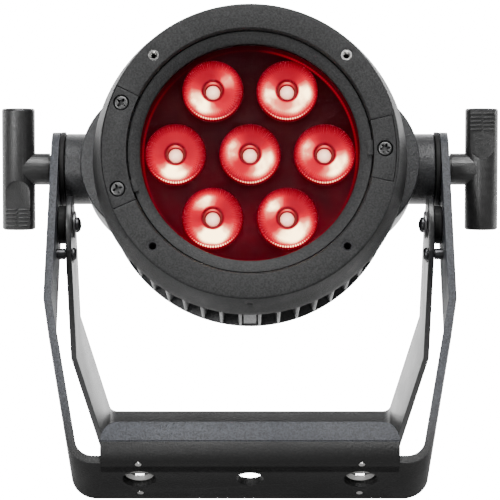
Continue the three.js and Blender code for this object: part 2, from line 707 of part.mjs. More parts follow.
function rearOpenings() {
  const [near, far] = [ahead(BACK_FACE + COVER_WALL + 1), ahead(BACK_FACE - 1)];
  const openings = [slab(roundedRectangle(46.6, 18.6, 2.3), near, far, 3).translate([0, 0, PANEL_Z])];
  openings.push(...BUTTON_X.map((x) => moved(rod(4.1, near, far, 'y'), x, 0, BUTTON_Z)));
  openings.push(...SOCKETS.map(({ x, z, radius }) => moved(rod(radius - 2 + GAP, near, far, 'y'), x, 0, z)));
  openings.push(moved(rod(4.3, near, far, 'y'), VENT.x, 0, VENT.z));
  openings.push(...COVER_SCREWS.map((angle) => onRing(rod(1.9, near, far, 'y'), COVER_SCREW_ROW, angle)));
  return openings;
}

// A round panel socket: a flange on the cover, a barrel through it and contacts in a deep cup.
function panelSocket({ radius, pins }) {
  const face = BACK_FACE - GAP;
  const flangePlate = rod(radius, ahead(face), ahead(face - 2.4), 'y');
  const collar = rod(radius - 1.2, ahead(face - 2.3), ahead(face - 6), 'y');
  const barrel = rod(radius - 2, ahead(face + 12), ahead(face - 1), 'y');
  const cup = rod(radius - 3.6, ahead(face + 7), ahead(face - 7), 'y');
  const contacts = [];
  for (let i = 0; i < pins; i += 1) {
    const turn = deg((360 * i) / pins + 90);
    const reach = (radius - 3.6) * 0.52;
    const pin = rod(1.1, ahead(face + 8), ahead(face + 1.5), 'y');
    contacts.push(moved(pin, reach * Math.cos(turn), 0, reach * Math.sin(turn)));
  }
  return join(cut(join(flangePlate, collar, barrel), cup), ...contacts);
}

function ventPlug() {
  const face = BACK_FACE - GAP;
  const head = rod(6.4, ahead(face), ahead(face - 3), 'y', 6.4, HEX);
  const shank = rod(3.9, ahead(face + 5), ahead(face - 1), 'y');
  const holes = [0, 120, 240].map((angle) => {
    const turn = deg(angle);
    const hole = rod(0.8, ahead(face - 1.6), ahead(face - 4), 'y');
    return moved(hole, 2.6 * Math.sin(turn), 0, 2.6 * Math.cos(turn));
  });
  return cut(join(head, shank), ...holes);
}

// The eye takes the carabiner of a safety wire.
function safetyEye() {
  const face = BACK_FACE - GAP;
  const shape = new THREE.Shape();
  const [outer, inner] = [9, 5.2];
  shape.moveTo(ahead(face), -outer);
  shape.lineTo(ahead(face - 8), -outer);
  shape.absarc(ahead(face - 8), 0, outer, -Math.PI / 2, Math.PI / 2);
  shape.lineTo(ahead(face), outer);
  const hole = new THREE.Path();
  hole.absarc(ahead(face - 8), 0, inner, 0, 2 * Math.PI, true);
  shape.holes.push(hole);
  return cheek(shape, -2.5, 2.5, 9);
}

function coverScrew() {
  const face = BACK_FACE - GAP;
  const head = rod(3.2, ahead(face), ahead(face - 2.2), 'y');
  const shank = rod(1.6, ahead(face + 9), ahead(face - 1), 'y');
  const socket = rod(1.5, ahead(face - 1), ahead(face - 3), 'y', 1.5, HEX);
  return cut(join(head, shank), socket);
}

function button() {
  const cap = rod(3.7, ahead(BACK_FACE + COVER_WALL - 0.6), ahead(BACK_FACE - 2), 'y');
  const crown = rod(3.1, ahead(BACK_FACE - 1.8), ahead(BACK_FACE - 2.5), 'y');
  const flangeDisc = rod(4.8, ahead(BACK_FACE + COVER_WALL + 1.6), ahead(BACK_FACE + COVER_WALL + GAP), 'y');
  const neck = rod(3.5, ahead(BACK_FACE + COVER_WALL + 1), ahead(BACK_FACE + COVER_WALL - 1), 'y');
  return join(cap, crown, flangeDisc, neck);
}

function displayWindow() {
  const body = slab(roundedRectangle(46, 18, 2), ahead(BACK_FACE + 1.2), ahead(BACK_FACE - 0.5), 3);
  return moved(body, 0, 0, PANEL_Z);
}

function controlBoard() {
  const front = BACK_FACE + COVER_WALL + 1.6 + BUTTON_TRAVEL + 1.4;
  const board = box(-32, 32, ahead(front + 1.6), ahead(front), 1, 40);
  const screen = box(-21, 21, ahead(front + 0.1), ahead(front - 3.4), PANEL_Z - 8, PANEL_Z + 8);
  const switches = BUTTON_X.map((x) => {
    return moved(rod(2, ahead(front + 0.1), ahead(front - 1), 'y'), x, 0, BUTTON_Z);
  });
  return join(board, screen, ...switches);
}

function driverBoard() {
  const front = -30;
  const board = box(-42, 42, ahead(front), ahead(front + 1.6), -38, 38);
  const parts = [
    box(-30, -8, ahead(front + 16), ahead(front + 1), -6, 18),
    box(6, 22, ahead(front + 11), ahead(front + 1), 4, 24),
    moved(rod(7, ahead(front + 20), ahead(front + 1), 'y'), 26, 0, -14),
    moved(rod(5, ahead(front + 16), ahead(front + 1), 'y'), -22, 0, -22),
    box(-4, 12, ahead(front + 6), ahead(front + 1), -30, -16),
  ];
  return join(board, ...parts);
}

function rearGasket() {
  return ring(64.2, 61.2, ahead(FIN_REAR - GAP), ahead(FIN_REAR - 1.5));
}

// ---------------------------------------------------------------- assembly

// The swing at which the inner bracket's front edge reaches the floor with the outer one's edge.
function spreadAngle() {
  const half = BAR_WIDTH / 2;
  const swing = deg(OUTER_SWING);
  const floor = OUTER_REACH * Math.cos(swing) + half * Math.sin(swing);
  const drop = floor - INNER_PIVOT * Math.cos(swing);
  return Math.atan2(half, INNER_REACH) + Math.acos(drop / Math.hypot(half, INNER_REACH));
}

const innerSwing = spreadAngle();

const model = new THREE.Group();
const frame = new THREE.Group();
model.add(frame);

const outer = new THREE.Group();
outer.rotation.x = -deg(OUTER_SWING);
outer.add(mesh('outer_yoke', outerBracket(), BRACKET_COAT));

const inner = new THREE.Group();
inner.position.set(0, 0, -INNER_PIVOT).applyAxisAngle(new THREE.Vector3(1, 0, 0), -deg(OUTER_SWING));
inner.rotation.x = innerSwing;
inner.add(mesh('inner_yoke', innerBracket(innerSwing + deg(OUTER_SWING)), BRACKET_COAT));

const SIDES = [[-1, 'left'], [1, 'right']];

for (const [side, word] of SIDES) {
  const lock = mesh(`lock_receptacle_${word}`, receptacle(), STEEL);
  lock.position.set(side * LOCK_SPACING, HOLE_ROW, 0);
  outer.add(lock);
  const stop = mesh(`stop_pin_${word}`, stopPin(side), BLACK_STEEL);
  stop.position.z = -STOP_PIN;
  outer.add(stop);
  const spacer = mesh(`pivot_spacer_${word}`, pivotSpacer(side), RUBBER);
  const washer = mesh(`pivot_washer_${word}`, pivotWasher(side), STEEL);
  const screw = mesh(`pivot_screw_${word}`, pivotScrew(side), BLACK_STEEL);
  for (const piece of [spacer, washer, screw]) {
    piece.position.z = -INNER_PIVOT;
    outer.add(piece);
  }
  frame.add(mesh(`tilt_handle_${word}`, handle(side), NYLON));
  frame.add(mesh(`clamp_stud_${word}`, clampStud(side), STEEL));
}

const head = new THREE.Group();
head.rotation.x = -deg(HEAD_TILT);
head.add(mesh('heat_sink_housing', housing(), POWDER_COAT));
head.add(mesh('front_bezel', frontBezel(), POWDER_COAT));
head.add(mesh('lens_retainer', lensRetainer(), POWDER_COAT));
head.add(mesh('front_glass', rod(57, ahead(50.3), ahead(GLASS_REAR), 'y'), CLEAR));
head.add(mesh('housing_gasket', housingGasket(), RUBBER));
head.add(mesh('lens_plate', lensPlate(), REFLECTOR));
head.add(mesh('led_board', ledBoard(), BOARD));
lensCentres().forEach(([x, z], i) => {
  const lens = mesh(`led_lens_${i + 1}`, collimator(), LENS_RED);
  lens.position.set(x, 0, z);
  head.add(lens);
});
for (const [side, word] of SIDES) {
  head.add(mesh(`tilt_boss_${word}`, boss(side), POWDER_COAT));
  head.add(mesh(`friction_ring_${word}`, frictionRing(side), RUBBER));
}

head.add(mesh('clamp_plate', letInPlate(HINGE_PLATE, HINGE_SCREWS), POWDER_COAT));
head.add(mesh('latch_plate', letInPlate(LATCH_PLATE, LATCH_SCREWS), POWDER_COAT));
[...HINGE_SCREWS, ...LATCH_SCREWS].forEach(([row, angle], i) => {
  const name = ['clamp_screw_lower', 'clamp_screw_upper', 'latch_screw'][i];
  head.add(mesh(name, onRing(crossScrew(FRONT_FACE), row, angle), BLACK_STEEL));
});

head.add(mesh('rear_cover', rearCover(), POWDER_COAT));
head.add(mesh('rear_gasket', rearGasket(), RUBBER));
head.add(mesh('driver_board', driverBoard(), BOARD));
head.add(mesh('control_board', controlBoard(), BOARD));
head.add(mesh('display_window', displayWindow(), DISPLAY));
['menu', 'down', 'up', 'enter'].forEach((word, i) => {
  const piece = mesh(`button_${word}`, button(), RUBBER);
  piece.position.set(BUTTON_X[3 - i], 0, BUTTON_Z);
  head.add(piece);
});
SOCKETS.forEach((socket) => {
  const piece = mesh(socket.name, panelSocket(socket), RUBBER);
  piece.position.set(socket.x, 0, socket.z);
  head.add(piece);
});
const vent = mesh('vent_plug', ventPlug(), NYLON);
vent.position.set(VENT.x, 0, VENT.z);
const eye = mesh('safety_eye', safetyEye(), BLACK_STEEL);
eye.position.set(0, 0, EYE_Z);
head.add(vent, eye);
COVER_SCREWS.forEach((angle, i) => {
  head.add(mesh(`cover_screw_${i + 1}`, onRing(coverScrew(), COVER_SCREW_ROW, angle), BLACK_STEEL));
});

frame.add(outer, inner, head);

// Stand the light on z = 0, centred on the origin.
model.updateMatrixWorld(true);
const extent = new THREE.Box3().setFromObject(model, true);
const middle = extent.getCenter(new THREE.Vector3());
frame.position.set(-middle.x, -middle.y, -extent.min.z);

export default model;
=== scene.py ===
"""Looks for the par can light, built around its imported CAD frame.

Each part is made again from its own few dimensions with fine round surfaces and
broken edges, in millimetres about the axis it turns on, and is then set in place
on its CAD body. Only the boards and gaskets, which are inside, stay as packed.
"""

import json
from math import acos, atan2, copysign, cos, degrees, hypot, pi, radians, sin, sqrt, tan

import bmesh
import bpy
from mathutils import Matrix, Vector


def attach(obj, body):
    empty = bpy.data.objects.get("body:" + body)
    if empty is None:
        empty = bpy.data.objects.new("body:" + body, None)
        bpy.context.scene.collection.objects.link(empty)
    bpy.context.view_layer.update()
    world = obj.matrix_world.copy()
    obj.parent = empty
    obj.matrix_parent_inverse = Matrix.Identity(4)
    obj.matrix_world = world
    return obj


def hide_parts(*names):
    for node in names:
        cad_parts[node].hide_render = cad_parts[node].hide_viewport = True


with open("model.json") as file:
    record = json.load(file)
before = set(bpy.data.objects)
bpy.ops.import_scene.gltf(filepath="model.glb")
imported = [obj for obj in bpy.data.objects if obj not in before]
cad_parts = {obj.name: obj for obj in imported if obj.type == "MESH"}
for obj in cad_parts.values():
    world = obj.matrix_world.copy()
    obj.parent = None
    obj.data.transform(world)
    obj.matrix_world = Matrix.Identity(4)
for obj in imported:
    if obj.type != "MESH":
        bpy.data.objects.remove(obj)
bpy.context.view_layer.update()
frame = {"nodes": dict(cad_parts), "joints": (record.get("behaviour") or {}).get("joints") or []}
NODES = frame["nodes"]

MM = 0.001
GAP = 0.3  # clearance between neighbours, in millimetres
STEPS = 160  # sides of a round surface
SIDES = {-1: "left", 1: "right"}

# Attitude of the bodies at rest, in degrees about X.
HEAD_TILT = -11.7
OUTER_SWING = -36.0

# Outer bracket, in millimetres from the tilt axis.
BAR_WIDTH = 38
OUTER_SHEET = 4
OUTER_HALF = 102
OUTER_BEND = 89.6
OUTER_REACH = 180.3
OUTER_SLANT = 10.6
CORNER_RADIUS = 13
FLANGE_HALF = 71
FLANGE_FRONT = -24
FLANGE_HEIGHT = 19.5
FLANGE_END = (8.0, 10.0)  # width and height of its rounded ends
FOLD_RADIUS = 8.5
GROOVES = (9.1, 4.6)  # heights of the two lines pressed along the flange
HOLE_ROW = -2.2
CENTRE_HOLE = 6.5
LOCK_SPACING = 53
LOCK_HOLE = 8.15
DISH_RADIUS = 7.6
DISH_DEPTH = 1.5
RIVET_SPACING = 14.9
RIVET_RADIUS = 1.6
PIVOT_SHANK = 2.5
STOP_SHANK = 2.2
STUD_RADIUS = 4

# Inner bracket, from its own pivot.
INNER_PIVOT = 34.3
INNER_SHEET = 3
INNER_HALF = 93.4
INNER_BEND = 71.6
INNER_REACH = 138.9
INNER_SLANT = 12.5
INNER_CORNER = 7
INNER_TIP = 14.6
STOP_PIN = 51.9
STOP_NECK = 1.9

# Head: distances in front of the tilt axis, and radii about the optical axis.
FRONT_FACE = 57
RING_OUTER = 74.5
RING_SEAM = 61
WINDOW = 54.8
BEZEL_REAR = 30
BEZEL_OUTER = 79.5
HOUSING_FRONT = 29
FIN_FRONT = 24.4
FIN_REAR = -43
FIN_TIP = 77.6
FIN_ROOT = 66
FIN_COUNT = 48
FIN_RIM = 3
BARE_SIDE = 62  # degrees from upright, beyond which the ears stand instead of fins
BACK_FACE = -58
REAR_RADIUS = 68
COVER_WALL = 3
CUP_RADIUS = 40
CUP_OFFSET = 46.6
BOSS_RADIUS = 18.3
BOSS_FACE = 95
GLASS_REAR = 47.6
GLASS_WELL = 58.1
GLASS_LEDGE = 55.5
RETAINER_SEAT = 51.9
RETAINER_FACE = 53.9
RETAINER_BACK = 50.6
PLATE_FRONT = 41
LENS_PITCH = 37.3
LENS_RADIUS = 15.4
LENS_FRONT = 46
EYE_RADIUS = 4.1
REFLECTOR_RADIUS = 57

# T-handles.
GRIP_RADIUS = 8.55
GRIP_LENGTH = 63.2
GRIP_CENTRE = 120
STEM_RADIUS = 8.2
RECESS_HALF = 6.3
RECESS_DEPTH = 2.8

# Studio, in metres, degrees and millimetres of lens. Strengths are of the surround and the
# floor, as they light the object and, where named seen, as the camera sees them.
CAMERA_PLACE = (0, -1.2461, 0.2034)
CAMERA_PITCH = 4
CAMERA_LENS = 175.5
TENT_FRONT = 0.22
TENT_BACK = 6.5
TENT_TOP = 0.35
TENT_SEEN = 17.0
FLOOR_SEEN = 16.0
FLOOR_FRONT = 0.3
FLOOR_BACK = 2.5
LAMPS = {  # place, target, size and power
    "key": ((0.5, -1.3, 1.1), (0, 0, 0.14), 0.6, 8),
    "front_left": ((-0.8, -1.4, 0.3), (0, 0, 0.16), 0.5, 17),
    "overhead": ((0.1, -0.75, 1.85), (0, 0, 0.1), 1.2, 55),
    "left_strip": ((-1.3, 0.3, 0.3), (0, 0, 0.15), 0.3, 2),
    "right_strip": ((1.3, 0.3, 0.3), (0, 0, 0.15), 0.3, 2),
}


# ---- body frames


def joint_place(name):
    return Vector(next(j["pos_m"] for j in frame["joints"] if j["name"] == name))


def turned_about(place, angle):
    return Matrix.Translation(place) @ Matrix.Rotation(radians(angle), 4, "X")


def inner_swing():
    """The inner bracket's front edge stands on the floor level with the outer one's."""
    half = BAR_WIDTH / 2
    swing = radians(-OUTER_SWING)
    floor = OUTER_REACH * cos(swing) + half * sin(swing)
    drop = floor - INNER_PIVOT * cos(swing)
    return atan2(half, INNER_REACH) + acos(drop / hypot(half, INNER_REACH))


AXIS = joint_place("head_tilt")
HEAD = turned_about(AXIS, HEAD_TILT)
OUTER = turned_about(AXIS, OUTER_SWING)
INNER = turned_about(joint_place("inner_bracket_fold"), degrees(inner_swing()))
HANDLE = turned_about(AXIS, 0)


# ---- solids in millimetres


def solid(bm):
    bmesh.ops.recalc_face_normals(bm, faces=bm.faces)
    mesh = bpy.data.meshes.new("solid")
    bm.to_mesh(mesh)
    bm.free()
    piece = bpy.data.objects.new("solid", mesh)
    bpy.context.scene.collection.objects.link(piece)
    return piece


def lathe(points, steps=STEPS):
    """Revolves closed [radius, distance ahead] points about the optical axis."""
    bm = bmesh.new()
    rings = []
    for radius, ahead in points:
        count = steps if radius > 0 else 1
        turns = [2 * pi * i / count for i in range(count)]
        ring = [(radius * cos(t), -ahead, radius * sin(t)) for t in turns]
        rings.append([bm.verts.new(spot) for spot in ring])
    for a, b in zip(rings, rings[1:] + rings[:1]):
        for i in range(steps):
            j = (i + 1) % steps
            quad = [a[i % len(a)], a[j % len(a)], b[j % len(b)], b[i % len(b)]]
            corners = list(dict.fromkeys(quad))
            if len(corners) > 2:
                bm.faces.new(corners)
    return solid(bm)


def prism(outline, low, high, axis):
    """Extrudes a closed outline along an axis. It is drawn in the other two, in their order."""
    bm = bmesh.new()
    place = {
        "x": lambda p, h: (h, p[0], p[1]),
        "y": lambda p, h: (p[0], h, p[1]),
        "z": lambda p, h: (p[0], p[1], h),
    }[axis]
    near, far = [[bm.verts.new(place(p, h)) for p in outline] for h in (low, high)]
    bm.faces.new(near)
    bm.faces.new(far)
    for i in range(len(outline)):
        j = (i + 1) % len(outline)
        bm.faces.new((near[i], near[j], far[j], far[i]))
    return solid(bm)


def arc(centre, radius, start, end, steps=12):
    """Points of an arc, between angles in degrees."""
    turns = [radians(start + (end - start) * i / steps) for i in range(steps + 1)]
    return [(centre[0] + radius * cos(t), centre[1] + radius * sin(t)) for t in turns]


def circle(radius, centre=(0, 0), steps=None):
    count = steps or 4 * max(6, round(2.4 * sqrt(radius)))
    return arc(centre, radius, 0, 360 * (1 - 1 / count), count - 1)


def rod(radius, low, high, axis, centre=(0, 0), steps=None):
    return prism(circle(radius, centre, steps), low, high, axis)


def side_rod(side, radius, near, far, centre=(0, 0)):
    low, high = sorted((side * near, side * far))
    return rod(radius, low, high, "x", centre)


def block(x, y, z):
    return prism([(x[0], y[0]), (x[1], y[0]), (x[1], y[1]), (x[0], y[1])], z[0], z[1], "z")


def rounded(width, height, radius, centre=(0, 0)):
    w, h = width / 2 - radius, height / 2 - radius
    points = []
    for i, (x, z) in enumerate([(w, h), (-w, h), (-w, -h), (w, -h)]):
        points += arc((centre[0] + x, centre[1] + z), radius, 90 * i, 90 * i + 90, 6)
    return points


def on_ring(row, angle):
    """A place on the head's face, clockwise from the top."""
    turn = radians(angle)
    return row * sin(turn), row * cos(turn)


def apply_modifiers(piece):
    graph = bpy.context.evaluated_depsgraph_get()
    mesh = bpy.data.meshes.new_from_object(piece.evaluated_get(graph))
    piece.modifiers.clear()
    piece.data = mesh
    return piece


def combine(piece, tools, operation):
    for tool in tools:
        modifier = piece.modifiers.new("combine", "BOOLEAN")
        modifier.operation = operation
        modifier.solver = "EXACT"
        modifier.object = tool
        apply_modifiers(piece)
        bpy.data.objects.remove(tool)
    return piece


def join(piece, *tools):
    return combine(piece, tools, "UNION")


def cut(piece, *tools):
    return combine(piece, tools, "DIFFERENCE")


def meet(piece, tool):
    return combine(piece, [tool], "INTERSECT")


def soften(piece, width, segments=2, angle=28):
    """Breaks the sharp edges of a finished solid."""
    weld = piece.modifiers.new("weld", "WELD")
    weld.merge_threshold = 0.002
    bevel = piece.modifiers.new("bevel", "BEVEL")
    bevel.width = width
    bevel.segments = segments
    bevel.limit_method = "ANGLE"
    bevel.angle_limit = radians(angle)
    bevel.harden_normals = False
    return apply_modifiers(piece)


def smooth(piece, angle=32):
    mesh = piece.data
    mesh.polygons.foreach_set("use_smooth", [True] * len(mesh.polygons))
    mesh.set_sharp_from_angle(angle=radians(angle))


def place(piece, name, body, where, finish, replaced=(), at=(0, 0, 0)):
    """Sets a finished solid on its body, with its finish, in place of CAD nodes."""
    piece.name = name
    piece.data.name = name
    piece.data.transform(Matrix.Scale(MM, 4))
    smooth(piece)
    piece.data.materials.clear()
    piece.data.materials.append(finish.material)
    spot = where @ Matrix.Translation(Vector(at) * MM)
    if finish.centred:
        piece.matrix_world = spot
    else:
        piece.data.transform(spot)
        piece.matrix_world = Matrix.Identity(4)
    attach(piece, body)
    if replaced:
        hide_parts(*replaced)


def on_head(piece, name, finish, replaced=(), at=(0, 0, 0)):
    place(piece, name, "head", HEAD, finish, replaced, at)


def on_bracket(piece, name, finish, replaced=(), at=(0, 0, 0)):
    place(piece, name, "outer_bracket", OUTER, finish, replaced, at)


# ---- materials


PAINTED_GLOW_LOBES = [  # painted glow of each lens: degrees anticlockwise from the right, strength, sharpness
    [(165, 0.95, 3.5), (-32, 1.2, 2.2)],
    [(195, 1.1, 3.5), (-4, 1.05, 4), (-60, 0.7, 2.5)],
    [(165, 0.9, 4), (-38, 1.2, 2.5)],
    [(140, 1.1, 3.5), (-62, 1.4, 1.6)],
    [(112, 1.1, 3), (-84, 1.5, 1.8)],
    [(-95, 1.2, 3), (80, 0.15, 3)],
    [(38, 0.85, 6), (222, 1.2, 2.4)],
]


class Finish:
    """A material and its slot in the record. A centred one is laid out about the piece's own axis."""

    def __init__(self, material, slot, centred=False):
        self.material = material
        self.slot = slot
        self.centred = centred


class Nodes:
    """Builds a material's node tree on coordinates in millimetres."""

    def __init__(self, name):
        self.material = bpy.data.materials.new(name)
        self.material.use_nodes = True
        self.tree = self.material.node_tree
        self.shader = self.tree.nodes["Principled BSDF"]
        coordinates = self.tree.nodes.new("ShaderNodeTexCoord")
        scale = self.tree.nodes.new("ShaderNodeVectorMath")
        scale.operation = "SCALE"
        scale.inputs["Scale"].default_value = 1 / MM
        self.link(coordinates.outputs["Object"], scale.inputs[0])
        self.place = scale.outputs[0]

    def link(self, source, target):
        self.tree.links.new(source, target)

    def split(self):
        """The three coordinates."""
        split = self.tree.nodes.new("ShaderNodeSeparateXYZ")
        self.link(self.place, split.inputs[0])
        return split.outputs

    def noise(self, scale, detail=2.0, stretch=(1, 1, 1)):
        mapping = self.tree.nodes.new("ShaderNodeMapping")
        mapping.inputs["Scale"].default_value = stretch
        self.link(self.place, mapping.inputs["Vector"])
        noise = self.tree.nodes.new("ShaderNodeTexNoise")
        noise.inputs["Scale"].default_value = scale
        noise.inputs["Detail"].default_value = detail
        self.link(mapping.outputs[0], noise.inputs["Vector"])
        return noise.outputs[0]

    def ramp(self, source, stops, smooth=False):
        ramp = self.tree.nodes.new("ShaderNodeValToRGB")
        if smooth:
            ramp.color_ramp.interpolation = "EASE"
        elements = ramp.color_ramp.elements
        while len(elements) < len(stops):
            elements.new(0.5)
        for element, (position, colour) in zip(elements, stops):
            element.position = position
            element.color = (*(colour if isinstance(colour, tuple) else (colour,) * 3), 1)
        self.link(source, ramp.inputs[0])
        return ramp.outputs[0]

    def mix(self, share, first, second, blend="MIX"):
        mix = self.tree.nodes.new("ShaderNodeMix")
        mix.data_type = "RGBA"
        mix.blend_type = blend
        for socket, value in ((0, share), (6, first), (7, second)):
            if isinstance(value, (float, int)):
                mix.inputs[socket].default_value = value
            elif isinstance(value, tuple):
                mix.inputs[socket].default_value = (*value, 1)
            else:
                self.link(value, mix.inputs[socket])
        return mix.outputs[2]

    def math(self, operation, *values):
        node = self.tree.nodes.new("ShaderNodeMath")
        node.operation = operation
        for i, value in enumerate(values):
            if isinstance(value, (float, int)):
                node.inputs[i].default_value = value
            else:
                self.link(value, node.inputs[i])
        return node.outputs[0]

    def plus(self, first, second):
        return self.math("ADD", first, second)

    def times(self, first, second):
        return self.math("MULTIPLY", first, second)

    def bump(self, height, depth):
        bump = self.tree.nodes.new("ShaderNodeBump")
        bump.inputs["Distance"].default_value = depth * MM
        self.link(height, bump.inputs["Height"])
        self.link(bump.outputs[0], self.shader.inputs["Normal"])

    def glow(self, colour):
        self.set("Emission Color", colour)
        self.set("Emission Strength", 1)

    def set(self, name, value):
        socket = self.shader.inputs[name]
        if isinstance(value, (float, int)):
            socket.default_value = value
        elif isinstance(value, tuple):
            socket.default_value = (*value, 1)
        else:
            self.link(value, socket)


def grey(value, tint=(1, 1, 1)):
    return tuple(value * t for t in tint)


def powder_coat(
    name, slot, shade, tint=(1, 1, 1), grain=0.95, depth=0.3, roughness=0.5, gloss=0.35, painted_shade_mask=None
):
    """Textured paint: pebbled, with a patchy sheen and rubbed edges. Where its mask of painted shade gives 0,
    it is darkened with painted shade.
    """
    n = Nodes(name)
    pebbles = n.noise(grain, 3)
    patches = n.noise(0.035, 3)
    speckle = n.ramp(pebbles, [(0.38, grey(shade * 0.5, tint)), (0.62, grey(shade * 1.5, tint))])
    tone = n.mix(n.ramp(patches, [(0.35, 0), (0.7, 0.15)]), speckle, grey(shade * 1.4, tint))
    edge = n.tree.nodes.new("ShaderNodeNewGeometry").outputs["Pointiness"]
    rub = n.times(n.ramp(edge, [(0.52, 0), (0.6, 1)]), n.ramp(n.noise(0.4), [(0.4, 0.1), (0.7, 1)]))
    colour = n.mix(n.times(rub, 0.3), tone, grey(shade * 3.2, tint))
    # painted shade: the paint is mixed towards a far darker tone where the mask gives 0
    if painted_shade_mask:
        colour = n.mix(painted_shade_mask(n), grey(shade * 0.22), colour)
    n.set("Base Color", colour)
    n.set("Specular IOR Level", gloss)
    n.set("Roughness", n.ramp(patches, [(0.3, roughness - 0.06), (0.75, roughness + 0.1)]))
    n.bump(n.plus(pebbles, n.times(n.noise(grain * 2.3, 2), 0.5)), depth)
    return Finish(n.material, slot)


def painted_fold_shade_mask(n):
    """Mask of painted shade on the outer bracket: 1 on the arms and on the flange's flat, 0 on the fold and
    the base, where shade is painted, and fading from 1 to 0 down the arms towards their lower corners.
    """
    x, y, z = n.split()
    rows = OUTER.inverted()
    up = n.plus(n.times(y, rows[2][1]), n.times(z, rows[2][2]))
    height = n.math("DIVIDE", n.plus(up, rows[2][3] / MM + OUTER_REACH), 40)
    # painted shade below the flange's lower groove
    flat = n.ramp(height, [(0.222, 0), (0.232, 1)])
    # painted shade deepening down the arms into their corner bends
    corner = n.ramp(height, [(0.2, 0), (0.9, 1)])
    on_flange = n.math("LESS_THAN", n.math("ABSOLUTE", x), FLANGE_HALF + 0.3)
    return n.plus(n.times(on_flange, flat), n.times(n.math("SUBTRACT", 1, on_flange), corner))


def moulded(name, slot, shade, roughness=0.42, grain=3.0, depth=0.03, specular=0.5):
    """Moulded nylon or rubber: a fine spark-eroded texture, scuffed in places."""
    n = Nodes(name)
    scuffs = n.noise(0.25, 4, (1, 1, 3))
    tone = n.ramp(n.noise(grain, 2), [(0.3, grey(shade * 0.8)), (0.7, grey(shade * 1.2))])
    n.set("Base Color", n.mix(n.ramp(scuffs, [(0.5, 0), (0.8, 0.5)]), tone, grey(shade * 1.9)))
    n.set("Roughness", n.ramp(scuffs, [(0.35, roughness - 0.07), (0.75, roughness + 0.14)]))
    n.set("Specular IOR Level", specular)
    n.bump(n.noise(grain, 3), depth)
    return Finish(n.material, slot)


def metal(name, slot, shade, tint=(1, 1, 1), roughness=0.25, brushed=(1, 1, 1)):
    """Plated or blackened steel with fine machining marks."""
    n = Nodes(name)
    marks = n.noise(4, 3, brushed)
    stains = n.noise(0.12, 3)
    tone = n.ramp(stains, [(0.35, grey(shade, tint)), (0.75, grey(shade * 0.72, tint))])
    n.set("Base Color", tone)
    n.set("Metallic", 1)
    n.set("Roughness", n.plus(n.times(marks, 0.16), roughness - 0.08))
    n.bump(marks, 0.015)
    return Finish(n.material, slot)


def radius_and_turn(n):
    """Distance from the piece's own optical axis, and the angle about it in radians."""
    x, _, z = n.split()
    radius = n.math("SQRT", n.plus(n.math("POWER", x, 2), n.math("POWER", z, 2)))
    turn = n.math("ARCTAN2", z, x)
    return radius, turn


def lobe(n, turn, bearing, sharpness):
    """A soft lobe of light about the axis, brightest in one direction."""
    near = n.math("COSINE", n.math("SUBTRACT", turn, radians(bearing)))
    return n.math("POWER", n.math("MAXIMUM", near, 0), sharpness)


def lit_lens(index, lobes):
    """A moulded collimator with painted light: red lobes glowing as if lit by its emitter behind, a dark ring
    at its eye, a painted highlight along its lower rim, a painted glint above the eye, and painted shade
    towards its top.
    """
    n = Nodes(f"lit_lens_{index}")
    radius, turn = radius_and_turn(n)
    share = n.math("DIVIDE", radius, LENS_RADIUS)
    below = n.math("MAXIMUM", n.times(n.math("SINE", turn), -1), 0)
    above = n.math("MAXIMUM", n.math("SINE", turn), 0)
    # painted glow: lobes of light as if from the emitter behind the lens
    heat = 0.0
    for bearing, strength, sharpness in lobes:
        heat = n.plus(n.times(lobe(n, turn, bearing, sharpness), strength), heat)
    heat = n.times(heat, n.ramp(share, [(0.34, 0), (0.42, 0.9), (0.68, 1), (0.97, 0.2)]))
    heat = n.times(heat, n.ramp(n.noise(0.16, 3), [(0.3, 0.6), (0.65, 1)]))
    base = n.ramp(share, [
        (0, 0.3), (0.26, 0.15), (0.34, 0.2), (0.39, 0.44), (0.7, 0.47), (0.85, 0.36), (0.96, 0.18), (1, 0.06),
    ])
    # painted shade and light: the lens darker towards its top and lighter towards its bottom
    tilt = n.plus(n.times(n.times(n.math("SINE", turn), share), -0.3), 0.95)
    ribs = n.math("SINE", n.times(turn, 72))
    rings = n.math("SINE", n.times(radius, 7.0))
    dots = n.times(n.times(ribs, rings), n.ramp(share, [(0.42, 0), (0.75, 0.07)]))
    # painted highlight along the lower rim, in ribs
    painted_rim_highlight = n.times(n.plus(n.times(ribs, 0.5), 0.5), n.math("POWER", below, 1.5))
    painted_rim_highlight = n.times(painted_rim_highlight, n.ramp(share, [(0.9, 0), (0.94, 0.6), (0.975, 0.6), (0.99, 0)]))
    # painted glint on the eye's wall, shown only towards the top
    glint = n.ramp(share, [(0.262, 0), (0.272, 0.55), (0.285, 0.55), (0.3, 0)])
    level = n.plus(n.times(base, tilt), n.times(heat, 0.5))
    for part in (dots, painted_rim_highlight, n.times(glint, n.math("POWER", above, 2))):
        level = n.plus(level, part)
    colour = n.ramp(level, [
        (0, (0.03, 0, 0.001)), (0.15, (0.17, 0, 0.005)), (0.34, (0.5, 0, 0.016)),
        (0.56, (1.25, 0, 0.035)), (0.72, (2.4, 0.5, 0.32)), (0.95, (8.5, 6.0, 3.0)),
    ])
    n.set("Base Color", (0.05, 0, 0.003))
    n.set("Specular IOR Level", 0.08)
    n.set("Roughness", n.ramp(n.noise(2.0), [(0.3, 0.45), (0.7, 0.6)]))
    n.glow(colour)
    n.bump(n.times(ribs, n.ramp(share, [(0.6, 0), (0.9, 1)])), 0.2)
    return Finish(n.material, "lit_lens", centred=True)


